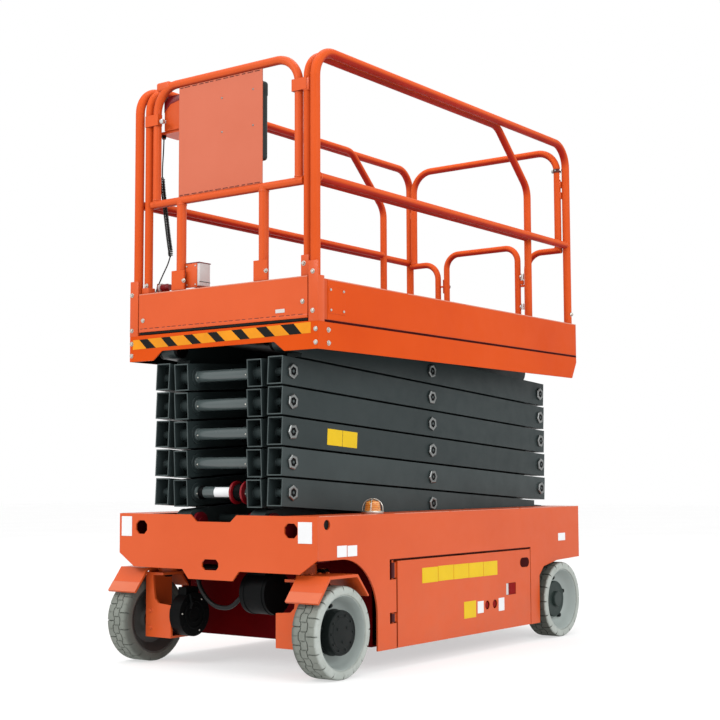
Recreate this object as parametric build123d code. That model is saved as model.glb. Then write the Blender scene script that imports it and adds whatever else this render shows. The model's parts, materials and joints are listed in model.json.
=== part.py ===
from build123d import *
import math
import os

os.makedirs("parts", exist_ok=True)

# ------------------------------------------------------------------ frame
# millimetres; +X forward (steered end), +Y to the machine's left, +Z up,
# origin on the ground under the middle of the machine.

# ------------------------------------------------------------------ driving dimensions
WHEEL_R = 190.5            # 381 x 127 solid tyre
WHEEL_W = 127.0
RIM_R = 124.0
FRONT_AXLE_X = 984.0
REAR_AXLE_X = -898.0
WHEEL_Y = 531.5            # centre plane of each wheel
KINGPIN_Y = 400.0
STEER_REST = 0.0           # the front wheels stand straight; a positive angle turns them to the left

CH_FRONT, CH_REAR = 1124.0, -1135.0
CH_HALF, CH_TOP, PL = 568.0, 666.0, 8.0
TUB_HALF = 384.0           # inside half width of the trough that the stack folds into
TUB_FLOOR = 560.0          # top of the trough's floor
ARCH_TOP = 486.0           # lower edge of the side plates over the front wheels
ARCH_R = 250.0
SKIRT_FRONT, SKIRT_REAR = 708.0, -702.0
SKIRT_BOTTOM = 86.0
DOOR_FRONT, DOOR_REAR, DOOR_TOP = 565.0, -612.0, 465.0
DOOR_GAP = 6.0
DOOR_HINGE_X, DOOR_HINGE_Y = 592.0, 562.0

TIERS = 6                  # pairs of crossing arms
PIN_FRONT_X, PIN_REAR_X = 1038.0, -1086.0
PIN_Z0 = 633.0             # lowest front and rear pins
PITCH = 127.6              # height of one folded tier
ARM_H, ARM_T = 118.0, 5.0  # arm tube height, wall
OUT_Y = (286.0, 366.0)     # outer arm tube, inside and outside faces
IN_Y = (172.0, 253.0)      # inner arm tube
PIN_R, PIN_BORE_R = 20.0, 20.6
CROSS_R = 19.0             # cross tubes between the two inner arms
OVER_FRONT, OVER_REAR = 64.0, 49.0     # tube ends beyond the pins
ROLLER_R = 36.0            # rollers of the sliding lower rear ends

PF_FRONT, PF_REAR, PF_HALF = 1092.0, -1181.0, 548.0
PF_BOTTOM, PF_FLOOR, TOE_TOP = 1352.6, 1470.0, 1648.0
RAIL_R, EXT_R = 21.0, 19.0
RAIL_Y, EXT_Y, LOOP_Y = 518.0, 468.0, 419.0
POST_FRONT_X, POST_REAR_X = 1070.0, -1148.0
RAIL_TOP_Z, EXT_TOP_Z, MID_Z = 2630.0, 2624.0, 2080.0
EXT_DECK_REAR = -830.0

REST = math.degrees(math.atan2(PITCH, PIN_FRONT_X - PIN_REAR_X))   # arm slope when folded
ARM_L = math.hypot(PITCH, PIN_FRONT_X - PIN_REAR_X)                # pin to pin
MID_X = (PIN_FRONT_X + PIN_REAR_X) / 2


# ------------------------------------------------------------------ helpers
def box(x0, x1, y0, y1, z0, z1):
    return Pos((x0 + x1) / 2, (y0 + y1) / 2, (z0 + z1) / 2) * Box(x1 - x0, y1 - y0, z1 - z0)


def rod_y(x, z, y0, y1, r):
    return Pos(x, (y0 + y1) / 2, z) * Rot(90, 0, 0) * Cylinder(r, abs(y1 - y0))


def rod_x(y, z, x0, x1, r):
    return Pos((x0 + x1) / 2, y, z) * Rot(0, 90, 0) * Cylinder(r, abs(x1 - x0))


def rod_z(x, y, z0, z1, r):
    return Pos(x, y, (z0 + z1) / 2) * Cylinder(r, abs(z1 - z0))


def plate_x(points_yz, x0, x1):
    """Plate between x0 and x1 whose outline is given in Y and Z."""
    face = make_face(Polyline(*[(x0, y, z) for y, z in points_yz], close=True))
    return extrude(face, amount=x1 - x0, dir=(1, 0, 0))


def plate_y(points_xz, y0, y1):
    """Plate between y0 and y1 whose outline is given in X and Z."""
    face = make_face(Polyline(*[(x, y0, z) for x, z in points_xz], close=True))
    return extrude(face, amount=y1 - y0, dir=(0, 1, 0))


def bent_tube(points, r, bend):
    """Round tube along straight runs joined by bends of one radius."""
    path = FilletPolyline(*points, radius=bend) if len(points) > 2 else Line(*points)
    return sweep(Plane(origin=path @ 0, z_dir=path % 0) * Circle(r), path=path)


def both(shape):
    """The shape and its mirror image about the middle plane."""
    return shape + mirror(shape, about=Plane.XZ)


def fuse(*shapes):
    out = shapes[0]
    for s in shapes[1:]:
        out = out + s
    return out


def save(name, shape):
    solids = shape.solids()
    shape = solids[0] if len(solids) == 1 else Compound(children=list(solids))
    export_step(shape, "parts/%s.step" % name)


def octagon(cy, cz, w, h, c):
    """Corner-cut rectangle, centre, width, height and corner cut, in Y and Z."""
    a, b = w / 2, h / 2
    return [(cy - a + c, cz - b), (cy + a - c, cz - b), (cy + a, cz - b + c), (cy + a, cz + b - c),
            (cy + a - c, cz + b), (cy - a + c, cz + b), (cy - a, cz + b - c), (cy - a, cz - b + c)]


# ------------------------------------------------------------------ chassis
def chassis_frame():
    # trough floor and walls, rear plate, two long beams, cross beams and king pins
    s = box(CH_REAR + PL, CH_FRONT - PL, -TUB_HALF - PL, TUB_HALF + PL, TUB_FLOOR - PL, TUB_FLOOR)
    s += both(box(CH_REAR + PL, CH_FRONT - PL, TUB_HALF, TUB_HALF + PL, TUB_FLOOR - PL, CH_TOP))
    s += box(CH_REAR, CH_REAR + PL, -CH_HALF + PL, CH_HALF - PL, 399, CH_TOP)
    s += both(box(CH_REAR + PL, CH_FRONT - PL, 150, 230, 446, TUB_FLOOR - PL))
    s += both(box(FRONT_AXLE_X - 70, FRONT_AXLE_X + 70, 230, 470, 470, TUB_FLOOR - PL))
    s += both(rod_z(FRONT_AXLE_X, KINGPIN_Y, 396, 472, 25))
    # sliding tracks under the rear ends of the lowest outer arms
    s += both(box(-1120, 40, 259, 284, TUB_FLOOR, PIN_Z0 - ROLLER_R - 2))
    # ears and fixed pins of the lowest front pivot
    for y0, y1 in ((146, 160), (262, 274)):
        ear = box(PIN_FRONT_X - 42, PIN_FRONT_X + 42, y0, y1, TUB_FLOOR, PIN_Z0)
        ear += rod_y(PIN_FRONT_X, PIN_Z0, y0, y1, 42)
        s += both(ear)
    s += both(rod_y(PIN_FRONT_X, PIN_Z0, 140, 282, PIN_R))
    return s


def front_plate():
    half = [(TAB_C + 127, 389), (TAB_C + 163, 430), (475, 430), (CH_HALF, 490), (CH_HALF, CH_TOP),
            (133, CH_TOP), (98, 636)]
    left = [(-98, 636), (-133, CH_TOP), (-CH_HALF, CH_TOP), (-CH_HALF, 490), (-475, 430),
            (TAB_C - 163, 430), (TAB_C - 127, 389)]
    s = plate_x(half + left, CH_FRONT - PL, CH_FRONT)
    s -= plate_x(octagon(TAB_C, 453, 96, 46, 14), CH_FRONT - 20, CH_FRONT + 5)
    for side in (-1, 1):
        s -= plate_x(octagon(side * 430, 606, 70, 60, 17), CH_FRONT - 20, CH_FRONT + 5)
    return s


TAB_C = -16.0


def side_panel(side):
    """Bent side plate: deck flange, arches, door opening and hinge pockets."""
    y0, y1 = CH_HALF - PL, CH_HALF
    s = box(CH_REAR, CH_FRONT - PL, y0, y1, SKIRT_BOTTOM, CH_TOP)
    # front arch
    cut = box(SKIRT_FRONT + ARCH_R, CH_FRONT + 5, y0 - 5, y1 + 5, 0, ARCH_TOP)
    cut += box(SKIRT_FRONT, CH_FRONT + 5, y0 - 5, y1 + 5, 0, ARCH_TOP - ARCH_R)
    cut += rod_y(SKIRT_FRONT + ARCH_R, ARCH_TOP - ARCH_R, y0 - 5, y1 + 5, ARCH_R)
    s -= cut
    # rear arch
    s -= plate_y([(SKIRT_REAR, 0), (SKIRT_REAR, 324), (-748, 367), (-890, 391), (CH_REAR - 5, 399),
                  (CH_REAR - 5, 0)], y0 - 5, y1 + 5)
    # door opening with two hinge pockets
    s -= box(DOOR_REAR, DOOR_FRONT, y0 - 5, y1 + 5, 0, DOOR_TOP)
    for z0, z1 in DOOR_POCKETS:
        s -= box(DOOR_FRONT - 5, 618, y0 - 5, y1 + 5, z0, z1)
    # round hole near the front corner
    s -= rod_y(1060, 631, y0 - 5, y1 + 5, 21)
    # deck flange
    s += box(CH_REAR + PL, CH_FRONT - PL, TUB_HALF + PL, y1, CH_TOP - PL, CH_TOP)
    # hinge pins
    for z0, z1 in DOOR_POCKETS:
        s += rod_z(DOOR_HINGE_X, DOOR_HINGE_Y, z0 - 1, z1 + 1, 4.9)
    return s if side > 0 else mirror(s, about=Plane.XZ)


DOOR_POCKETS = ((194.0, 241.0), (382.0, 465.0))


def door(side):
    x0, x1 = DOOR_REAR + DOOR_GAP, DOOR_FRONT - DOOR_GAP
    z0, z1 = SKIRT_BOTTOM + 1, DOOR_TOP - 5
    s = box(x0, x1, CH_HALF - 34, CH_HALF, z0, z1)
    s -= box(x0 + 4, x1 - 4, CH_HALF - 40, CH_HALF - 4, z0 + 4, z1 - 4)
    # latch hole, recessed square, two oval holes
    s -= rod_y(-566, 397, CH_HALF - 10, CH_HALF + 5, 20)
    s -= box(-462, -368, CH_HALF - 10, CH_HALF + 5, 247, 304)
    for x in (-190, -260):
        s -= rod_y(x, 213, CH_HALF - 10, CH_HALF + 5, 21)
    for pz0, pz1 in DOOR_POCKETS:
        k0, k1 = pz0 + 6, min(pz1 - 6, z1 - 6)
        leaf = rod_z(DOOR_HINGE_X, DOOR_HINGE_Y, k0, k1, 11)
        leaf += box(x1 - 30, DOOR_HINGE_X, DOOR_HINGE_Y - 11, DOOR_HINGE_Y - 3, k0, k1)
        leaf -= rod_z(DOOR_HINGE_X, DOOR_HINGE_Y, k0 - 5, k1 + 5, 5.3)
        s += leaf
    return s if side > 0 else mirror(s, about=Plane.XZ)


def belly_tray():
    # floor pans of both side compartments, inner walls and the two end bulkheads
    s = box(-690, 700, -528, 528, 100, 108)
    s += box(692, 700, -528, 528, 100, 440)
    s += box(-690, -682, -528, 528, 100, 440)
    s += both(box(-682, 692, 140, 148, 108, 440))
    # upper part of the front bulkhead, between and outside the two long beams
    s += box(692, 700, -146, 146, 440, 548)
    s += both(box(692, 700, 234, 528, 440, 548))
    return s


def rear_axle():
    s = box(REAR_AXLE_X - 60, REAR_AXLE_X + 60, -430, 430, 300, 380)
    s += both(box(REAR_AXLE_X - 40, REAR_AXLE_X + 40, 160, 220, 380, 444))
    s += both(box(REAR_AXLE_X - 75, REAR_AXLE_X + 75, 430, 446, 110, 380))
    s += both(rod_y(REAR_AXLE_X, WHEEL_R, 440, 500, 45))
    s += both(rod_y(REAR_AXLE_X, WHEEL_R, 500, 560, 28))
    return s


def rear_ladder():
    x0, x1 = -1189.5, CH_REAR
    s = both(box(x0, x1, 186, 198, 250, 640))
    for z in (262, 420, 578):
        s += box(x0 + 8, x0 + 38, -190, 190, z - 14, z + 14)
    s += both(box(x1 - 1, x1, 170, 250, 430, 640))
    return s


def beacon():
    s = rod_z(645, 498, CH_TOP, CH_TOP + 12, 50)
    s += rod_z(645, 498, CH_TOP + 12, CH_TOP + 40, 40)
    s += Pos(645, 498, CH_TOP + 40) * (Sphere(40) & (Pos(0, 0, 25) * Box(100, 100, 50)))
    return s


# ------------------------------------------------------------------ front corners
def knuckle(side):
    """Steered yoke: sleeve on the king pin, top plate, side plate, necked front flange,
    track arm and the bent plate fender over the tyre."""
    ax, ky = FRONT_AXLE_X, KINGPIN_Y
    s = rod_z(ax, ky, 402, 465, 44)
    s += box(ax - 70, ax + 82, ky - 50, 456, 392, 404)
    s += box(ax - 70, ax + 82, 444, 456, 118, 404)
    s += plate_x([(456, 122), (456, 404), (ky + 14, 404), (ky + 8, 330), (ky, 286), (ky - 20, 268),
                  (ky - FLANGE_IN, 262), (ky - FLANGE_IN, 122)], ax + 70, ax + 82)
    s += box(ax - 70, ax + 82, ky - FLANGE_IN, 456, 118, 128)
    s -= rod_z(ax, ky, 380, 480, 25.6)
    # spindle
    s += rod_y(ax, WHEEL_R, 456, 500, 48)
    s += rod_y(ax, WHEEL_R, 500, 560, 30)
    # track arm and its pin
    s += box(ax - 130, ax - 60, ky - 22, ky + 22, 392, 404)
    s += rod_z(ax - TRACK_ARM, ky, 402, TIE_Z + 16, 12)
    # fender
    fender = [(-169, 333), (-92, 424), (98, 424), (177, 322), (171, 316), (94, 412), (-88, 412), (-163, 328)]
    s += plate_y([(ax + x, z) for x, z in fender], 430, 600)
    s += box(ax - 70, ax + 70, 440, 452, 402, 414)
    if side < 0:
        s = mirror(s, about=Plane.XZ)
        return Pos(ax, -ky, 0) * Rot(0, 0, STEER_REST) * Pos(-ax, ky, 0) * s
    return Pos(ax, ky, 0) * Rot(0, 0, STEER_REST) * Pos(-ax, -ky, 0) * s


TRACK_ARM = 112.0
FLANGE_IN = 98.0           # how far the front flange reaches inside the king pin
TIE_Z = 424.0              # height of the tie rod


def drive_motor(side):
    ax, ky = FRONT_AXLE_X, KINGPIN_Y
    s = rod_y(ax, WHEEL_R, 392, 443.5, 58)
    if side > 0:
        s += rod_y(ax, WHEEL_R + 10, 346, 394, 50)
    else:
        s += rod_y(ax, WHEEL_R + 10, 330, 394, 56)
        s += rod_y(ax, WHEEL_R + 30, 236, 297, 96) + rod_y(ax, WHEEL_R + 30, 295, 332, 62)
        s += box(ax - 40, ax + 40, 250, 297, WHEEL_R + 110, WHEEL_R + 150)
    if side < 0:
        s = mirror(s, about=Plane.XZ)
        return Pos(ax, -ky, 0) * Rot(0, 0, STEER_REST) * Pos(-ax, ky, 0) * s
    return Pos(ax, ky, 0) * Rot(0, 0, STEER_REST) * Pos(-ax, -ky, 0) * s


def tie_rod():
    a = math.radians(STEER_REST)
    dx, dy = -TRACK_ARM * math.cos(a), -TRACK_ARM * math.sin(a)
    x = FRONT_AXLE_X + dx
    yl, yr = KINGPIN_Y + dy, -KINGPIN_Y + dy
    s = rod_y(x, TIE_Z, yr + 20, yl - 20, 11)
    for y in (yl, yr):
        s += rod_z(x, y, TIE_Z - 13, TIE_Z + 13, 25)
    for y in (yl, yr):
        s -= rod_z(x, y, TIE_Z - 20, TIE_Z + 20, 12.6)
    return s


def wheel(x, side, steer):
    """Tyre and rim of one wheel, built at the left and mirrored or turned into place."""
    y0, y1 = WHEEL_Y - WHEEL_W / 2, WHEEL_Y + WHEEL_W / 2
    # tyre section: tread, rounded shoulders, side wall, bead (radius, y)
    sec = [(RIM_R, y0 + 4), (RIM_R + 40, y0), (WHEEL_R - 14, y0), (WHEEL_R, y0 + 14),
           (WHEEL_R, y1 - 14), (WHEEL_R - 14, y1), (RIM_R + 40, y1), (RIM_R, y1 - 4)]
    face = make_face(Polyline(*[(0, y, r) for r, y in sec], close=True))
    tyre = revolve(face, axis=Axis((0, 0, 0), (0, 1, 0)), revolution_arc=360)
    # rim: barrel, dished centre, hub cap
    rim_sec = [(RIM_R - 0.5, y0 + 6), (RIM_R - 0.5, y1 - 6), (RIM_R - 10, y1 - 6), (RIM_R - 16, y1 - 34),
               (92, y1 - 40), (88, y1 - 6), (30, y1 - 2), (0, y1 - 2),
               (0, y1 - 24), (36, y1 - 24), (36, y1 - 50), (RIM_R - 22, y1 - 50), (RIM_R - 16, y0 + 6)]
    face = make_face(Polyline(*[(0, y, r) for r, y in rim_sec], close=True))
    rim = revolve(face, axis=Axis((0, 0, 0), (0, 1, 0)), revolution_arc=360)
    rim -= rod_y(0, 0, y0 + 20, y1 - 24, 49.5)
    out = []
    for s in (tyre, rim):
        s = Pos(x, 0, WHEEL_R) * s
        if side < 0:
            s = mirror(s, about=Plane.XZ)
        if steer:
            ky = KINGPIN_Y * side
            s = Pos(x, ky, 0) * Rot(0, 0, STEER_REST) * Pos(-x, -ky, 0) * s
        out.append(s)
    return out


# ------------------------------------------------------------------ scissor stack
H = ARM_L / 2              # local frame of an arm: +X to the front end, pins at -H, 0, +H


def arm_tube(y0, y1, rear_end, front_end):
    """Rectangular tube; each end is square, round or a slim lug."""
    z = ARM_H / 2
    x0 = {"square": -H - OVER_REAR, "round": -H + 80, "lug": -H + 70}[rear_end]
    x1 = {"square": H + OVER_FRONT, "round": H - 80, "lug": H - 70}[front_end]
    s = box(x0, x1, y0, y1, -z, z)
    s -= box(x0 - (5 if rear_end == "square" else -ARM_T), x1 + (5 if front_end == "square" else -ARM_T),
             y0 + ARM_T, y1 - ARM_T, -z + ARM_T, z - ARM_T)
    for end, x, sgn in ((rear_end, -H, -1), (front_end, H, 1)):
        if end == "round":
            s += rod_y(x, 0, y0, y1, 55) + box(min(x, x - sgn * 86), max(x, x - sgn * 86), y0, y1, -54, 54)
        elif end == "lug":
            r = 40 if sgn > 0 else ROLLER_R
            s += rod_y(x, 0, y0, y1, r) + box(min(x, x - sgn * 76), max(x, x - sgn * 76), y0, y1, -r, r)
    return s


def outer_arm(i):
    rear = "lug" if i == 1 else "square"
    front = "lug" if i == TIERS else "square"
    s = arm_tube(OUT_Y[0], OUT_Y[1], rear, front)
    if i == 1:
        s += rod_y(-H, 0, 260, OUT_Y[0], ROLLER_R)
    pins = [0.0] + ([H] if i < TIERS else []) + ([-H] if i > 1 else [])
    for x in pins:
        s += rod_y(x, 0, IN_Y[0] + 8, OUT_Y[1] + 1, PIN_R)
        s += rod_y(x, 0, OUT_Y[1], OUT_Y[1] + 6, 30)
        s -= rod_y(x, 0, OUT_Y[1] + 1, OUT_Y[1] + 12, 20)
    if i == TIERS:
        s -= rod_y(H, 0, OUT_Y[0] - 5, OUT_Y[1] + 5, PIN_BORE_R)
    s = both(s)
    z = PIN_Z0 + (i - 0.5) * PITCH
    return Pos(MID_X, 0, z) * Rot(0, -REST, 0) * s


def inner_arm(i):
    rear = "round" if i == TIERS else "square"
    front = "round" if i == 1 else "square"
    s = arm_tube(IN_Y[0], IN_Y[1], rear, front)
    holes = [0.0, H] + ([-H] if i < TIERS else [])
    for x in holes:
        s += rod_y(x, 0, IN_Y[0], IN_Y[1], 32)
    for x in holes:
        s -= rod_y(x, 0, IN_Y[0] + (4 if x != H or i > 1 else -5), IN_Y[1] + 5, PIN_BORE_R)
    s = both(s)
    s += rod_y(H if i > 1 else H - 160, 0, -IN_Y[0] - 2, IN_Y[0] + 2, CROSS_R)
    s += rod_y(-H, 0, -IN_Y[0] - 2, IN_Y[0] + 2, CROSS_R)
    if i + 1 in ROD_TIERS:
        s += rod_y(H - FOOT_AT, 0, -IN_Y[0] - 2, IN_Y[0] + 2, CROSS_R)
    if i in ROD_TIERS:
        x = H - ROD_AT * ARM_L
        s += box(x - 60, x + 60, -IN_Y[0] - 2, IN_Y[0] + 2, 36, 56)
        s += both(box(x - 38, x + 38, 47, 60, -34, 40))
    z = PIN_Z0 + (i - 0.5) * PITCH
    return Pos(MID_X, 0, z) * Rot(0, REST, 0) * s


ROD_TIERS = (3, 5)         # inner arms that carry a lift cylinder's upper end
ROD_AT = 0.97              # how far back along that arm
FOOT_AT = 160.0            # barrel pivot, behind the front pins of the arm below


def lift_cylinder(tier):
    """Barrel hung on the second cross tube of inner arm tier-1, rod eye at inner arm tier."""
    a = math.radians(REST)
    dx = -(ROD_AT * ARM_L - FOOT_AT) * math.cos(a)
    dz = ((1 + ROD_AT) * ARM_L - FOOT_AT) * math.sin(a)
    reach = math.hypot(dx, dz)
    ang = math.degrees(math.atan2(dz, -dx))
    barrel = rod_x(0, 0, -reach + 80, -34, 48)
    barrel += rod_y(0, 0, -32, 32, 42)
    barrel -= rod_x(0, 0, -reach, -70, 33)
    barrel -= rod_y(0, 0, -60, 60, CROSS_R + 2)
    rod = rod_x(0, 0, -reach + 10, -78, 30)
    rod += rod_y(-reach, 0, -32, 32, 29)
    rod += rod_y(-reach, 0, -40, 40, 15)
    place = Pos(PIN_FRONT_X - FOOT_AT * math.cos(a), 0, PIN_Z0 + (tier - 2) * PITCH + FOOT_AT * math.sin(a))
    place = place * Rot(0, ang, 0)
    return place * barrel, place * rod


# ------------------------------------------------------------------ platform
def platform_deck():
    s = box(PF_REAR, PF_FRONT, -PF_HALF, PF_HALF, PF_FLOOR - PL, PF_FLOOR)
    side = plate_y([(PF_REAR, PF_FLOOR - 4), (PF_REAR, 1440), (PF_REAR + 50, PF_BOTTOM), (PF_FRONT, PF_BOTTOM),
                    (PF_FRONT, PF_FLOOR - 4)], PF_HALF - PL, PF_HALF)
    s += both(side)
    s += plate_x([(-PF_HALF, PF_FLOOR - 4), (-PF_HALF, PF_BOTTOM), (-400, PF_BOTTOM), (-345, 1394), (312, 1394),
                  (367, PF_BOTTOM), (PF_HALF, PF_BOTTOM), (PF_HALF, PF_FLOOR - 4)], PF_FRONT - 6, PF_FRONT)
    s += box(PF_REAR, PF_REAR + PL, -PF_HALF, PF_HALF, 1440, PF_FLOOR - 4)
    # tread panel of the fixed deck, behind the sliding one
    s += box(-1104, EXT_DECK_REAR - 20, -440, 440, PF_FLOOR - 1, PF_FLOOR + 1.5)
    # ears and fixed pins of the top front pivot
    z6 = PIN_Z0 + TIERS * PITCH
    for y0, y1 in ((270, 280), (372, 382)):
        ear = box(PIN_FRONT_X - 38, PIN_FRONT_X + 38, y0, y1, z6, PF_FLOOR - 6)
        ear += rod_y(PIN_FRONT_X, z6, y0, y1, 38)
        s += both(ear)
    s += both(rod_y(PIN_FRONT_X, z6, 266, 386, PIN_R))
    # sliding tracks over the rear ends of the top inner arms
    s += both(box(-1140, 40, 176, 249, z6 + 55 + 2, PF_FLOOR - 6))
    return s


def toe_boards():
    # main side kick plates and the two rear ones beside the gate
    s = both(box(PF_REAR, PF_FRONT, PF_HALF - PL, PF_HALF, PF_FLOOR, TOE_TOP))
    s += box(PF_REAR, PF_REAR + PL, -PF_HALF, -290, PF_FLOOR, 1620)
    s += box(PF_REAR, PF_REAR + PL, 262, PF_HALF, PF_FLOOR, 1620)
    return s


def main_rail(side):
    y = RAIL_Y
    s = bent_tube([(POST_FRONT_X, y, PF_FLOOR), (POST_FRONT_X, y, RAIL_TOP_Z), (POST_REAR_X, y, RAIL_TOP_Z),
                   (POST_REAR_X, y, PF_FLOOR)], RAIL_R, 120)
    s += rod_x(y, MID_Z, POST_REAR_X, POST_FRONT_X, RAIL_R - 1.5)
    return s if side > 0 else mirror(s, about=Plane.XZ)


REAR_X, REAR_Y, SHOULDER_Z = -1130.0, 476.0, 2056.0


def rear_rail():
    r = EXT_R
    # the upper hoop stands on the shoulders of the two lower ones, which reach the side posts
    s = bent_tube([(REAR_X, -REAR_Y, SHOULDER_Z), (REAR_X, -REAR_Y, 2610), (REAR_X, REAR_Y, 2610),
                   (REAR_X, REAR_Y, SHOULDER_Z)], r, 120)
    s += bent_tube([(REAR_X, -494, SHOULDER_Z), (REAR_X, -310, SHOULDER_Z), (REAR_X, -310, PF_FLOOR)], r - 2, 90)
    s += bent_tube([(REAR_X, 494, SHOULDER_Z), (REAR_X, 280, SHOULDER_Z), (REAR_X, 280, PF_FLOOR)], r - 2, 90)
    # hinge ears for the gate
    for z in (1560, 1900):
        s += box(REAR_X - 6, REAR_X + 6, GATE_HINGE_Y, 266, z - 26, z - 14)
        s += rod_z(REAR_X, GATE_HINGE_Y, z - 26, z + 14, 4.9)
    for z in (1560, 1900):
        s += rod_z(REAR_X, GATE_HINGE_Y, z - 26, z - 14, 9)
    return s


GATE_HINGE_Y = 249.0


def gate():
    x, r = REAR_X, 17.0
    s = bent_tube([(x, -250, 1500), (x, -250, 2100), (x, 220, 2100), (x, 220, 1500)], r, 80)
    s += box(x - 4, x + 4, -250, 220, 1494, 1620)
    for z in (1560, 1900):
        leaf = box(x - 6, x + 6, 222, GATE_HINGE_Y, z - 10, z + 10) + rod_z(x, GATE_HINGE_Y, z - 10, z + 10, 9)
        s += leaf - rod_z(x, GATE_HINGE_Y, z - 20, z + 20, 5.3)
    return s


# ------------------------------------------------------------------ sliding extension
def extension_deck():
    s = box(EXT_DECK_REAR, 1084, -490, 490, PF_FLOOR + 6, PF_FLOOR + 14)
    s += box(1078.5, 1084, -490, 490, PF_FLOOR + 6, 1520)
    s += box(1084, 1092, -492, 492, 1500, 1660)
    s += rod_z(1016, -476, EXT_Z0 - 1, 1504, 9)
    # tread panel
    s += box(-800, 950, -432, 432, EXT_Z0 - 1, EXT_Z0 + 1.5)
    return s


EXT_Z0 = PF_FLOOR + 14


def extension_rail(side):
    y, x1 = EXT_Y, POST_FRONT_X
    s = bent_tube([(x1 - 14, y, EXT_Z0), (x1 - 14, y, EXT_TOP_Z), (-500, y, EXT_TOP_Z), (-807, y, 2345), (-807, y, EXT_Z0)],
                  EXT_R, 110)
    s += rod_x(y, MID_Z, -807, x1 - 14, EXT_R - 1.5)
    return s if side > 0 else mirror(s, about=Plane.XZ)


def front_rail():
    x, r = POST_FRONT_X - 14, EXT_R
    y = LOOP_Y
    s = bent_tube([(x, -y, MID_Z - 7), (x, -y, 2616), (x, y, 2616), (x, y, MID_Z - 7)], r, 120)
    s += rod_y(x, MID_Z - 7, -447, 447, r - 1)
    for py in MID_POST_Y:
        s += rod_z(x, py, EXT_Z0, MID_Z - 7, MID_POST_R)
    # joining clips to the extension posts
    for side, z in ((1, 2484), (-1, 2464)):
        s += box(x - 6, x + 23, min(side * 396, side * 487), max(side * 396, side * 487), z - 26, z + 26)
        s -= rod_z(x, side * EXT_Y, z - 40, z + 40, EXT_R + 0.3)
        s -= box(x - 40, x + 40, min(side * 489, side * (EXT_Y + 8)), max(side * 489, side * (EXT_Y + 8)), z - 40, z + 40)
    # feet of the middle posts
    for py in MID_POST_Y:
        s += box(x + 16, x + 24, py - 38, py + 38, 1664, 1752)
    return s


MID_POST_Y, MID_POST_R = (-262.0, 224.0), 22.0


def front_panel():
    return box(POST_FRONT_X - 12, POST_FRONT_X - 8, -277, 219, 2091, 2596)


def control_box():
    s = box(930, 1030, -400, -300, 2419, 2575)
    s += box(905, 1030, -301, -120, 2419, 2540)
    s += box(900, 1020, -440, -118, 2408, 2420)
    # joystick boot and stem, cable gland
    s += rod_z(950, -200, 2539, 2562, 22)
    s += rod_z(950, -200, 2561, 2606, 9)
    s += rod_z(1005, -428, 2392, 2409, 9)
    return s


def document_box():
    return box(985, 1040, -60, 192, 2200, 2560)


def socket_box():
    return box(982, 1056, -222, -152, 1676, 1784)


# ------------------------------------------------------------------ cords
def cord_tube(points, dia, name):
    """Tube of straight runs joined by arcs as large as the runs allow."""
    runs = [(Vector(*b) - Vector(*a)) for a, b in zip(points, points[1:])]
    radii = []
    for u, v in zip(runs, runs[1:]):
        turn = math.radians(u.get_angle(v))
        radii.append(0.45 * min(u.length, v.length) / math.tan(turn / 2))
    path = FilletPolyline(*points, radius=radii)
    solid = sweep(Plane(origin=path @ 0, z_dir=path % 0) * Circle(dia / 2), path=path)
    print(name, "radii", [round(r) for r in radii], "length", round(path.length, 1),
          "volume ratio", round(solid.volume / (math.pi * dia * dia / 4 * path.length), 4))
    return solid


CORD_DIA, COIL_DIA, HOSE_DIA = 6.0, 24.0, 20.0
# route of the control cord: out of the box's gland, the coiled part, down to the deck's gland
TAIL_UPPER = [(1005, -428, 2392), (1005, -430, 2330), (1005, -440, 2216)]
COIL = [(1005, -440, 2216), (1005, -418, 2073), (1005, -391, 1908), (1005, -374, 1832)]
TAIL_LOWER = [(1005, -374, 1832), (1010, -431, 1744), (1017, -474, 1654), (1018, -480, 1572), (1016, -476, 1504)]
# hose that droops between the valve block and the right-hand beam
HOSE = [(1030, 116, 318), (1030, 78, 316), (1030, 42, 280), (1030, -2, 262), (1032, -74, 268), (1030, -134, 308),
        (1024, -182, 372), (1024, -182, 446)]


def valve_block():
    """Drum of the steering pump with its valve block, hung under the trough."""
    s = rod_y(996, 336, 116, 254, 90)
    s += box(950, 1044, 126, 226, 400, 445.5)
    return s


def battery_pack():
    return box(-560, 470, 175, 510, 112, 400)


def hydraulic_tank():
    return fuse(box(-560, -80, -510, -175, 112, 400), box(20, 470, -500, -190, 112, 330))


# ------------------------------------------------------------------ write the pieces
save("chassis_frame", chassis_frame())
save("front_plate", front_plate())
save("side_panel_left", side_panel(1))
save("side_panel_right", side_panel(-1))
save("door_left", door(1))
save("door_right", door(-1))
save("belly_tray", belly_tray())
save("battery_pack", battery_pack())
save("hydraulic_tank", hydraulic_tank())
save("rear_axle", rear_axle())
save("rear_ladder", rear_ladder())
save("beacon", beacon())
save("tie_rod", tie_rod())
for tag, side in (("left", 1), ("right", -1)):
    save("knuckle_%s" % tag, knuckle(side))
    save("drive_motor_%s" % tag, drive_motor(side))
for tag, x, side, steer in (("front_left", FRONT_AXLE_X, 1, True), ("front_right", FRONT_AXLE_X, -1, True),
                            ("rear_left", REAR_AXLE_X, 1, False), ("rear_right", REAR_AXLE_X, -1, False)):
    tyre, rim = wheel(x, side, steer)
    save("tyre_%s" % tag, tyre)
    save("rim_%s" % tag, rim)
for i in range(1, TIERS + 1):
    save("outer_arm_%d" % i, outer_arm(i))
    save("inner_arm_%d" % i, inner_arm(i))
for tag, tier in (("lower", 3), ("upper", 5)):
    barrel, rod = lift_cylinder(tier)
    save("lift_barrel_%s" % tag, barrel)
    save("lift_rod_%s" % tag, rod)
save("platform_deck", platform_deck())
save("toe_boards", toe_boards())
save("main_rail_left", main_rail(1))
save("main_rail_right", main_rail(-1))
save("rear_rail", rear_rail())
save("gate", gate())
save("extension_deck", extension_deck())
save("extension_rail_left", extension_rail(1))
save("extension_rail_right", extension_rail(-1))
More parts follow.
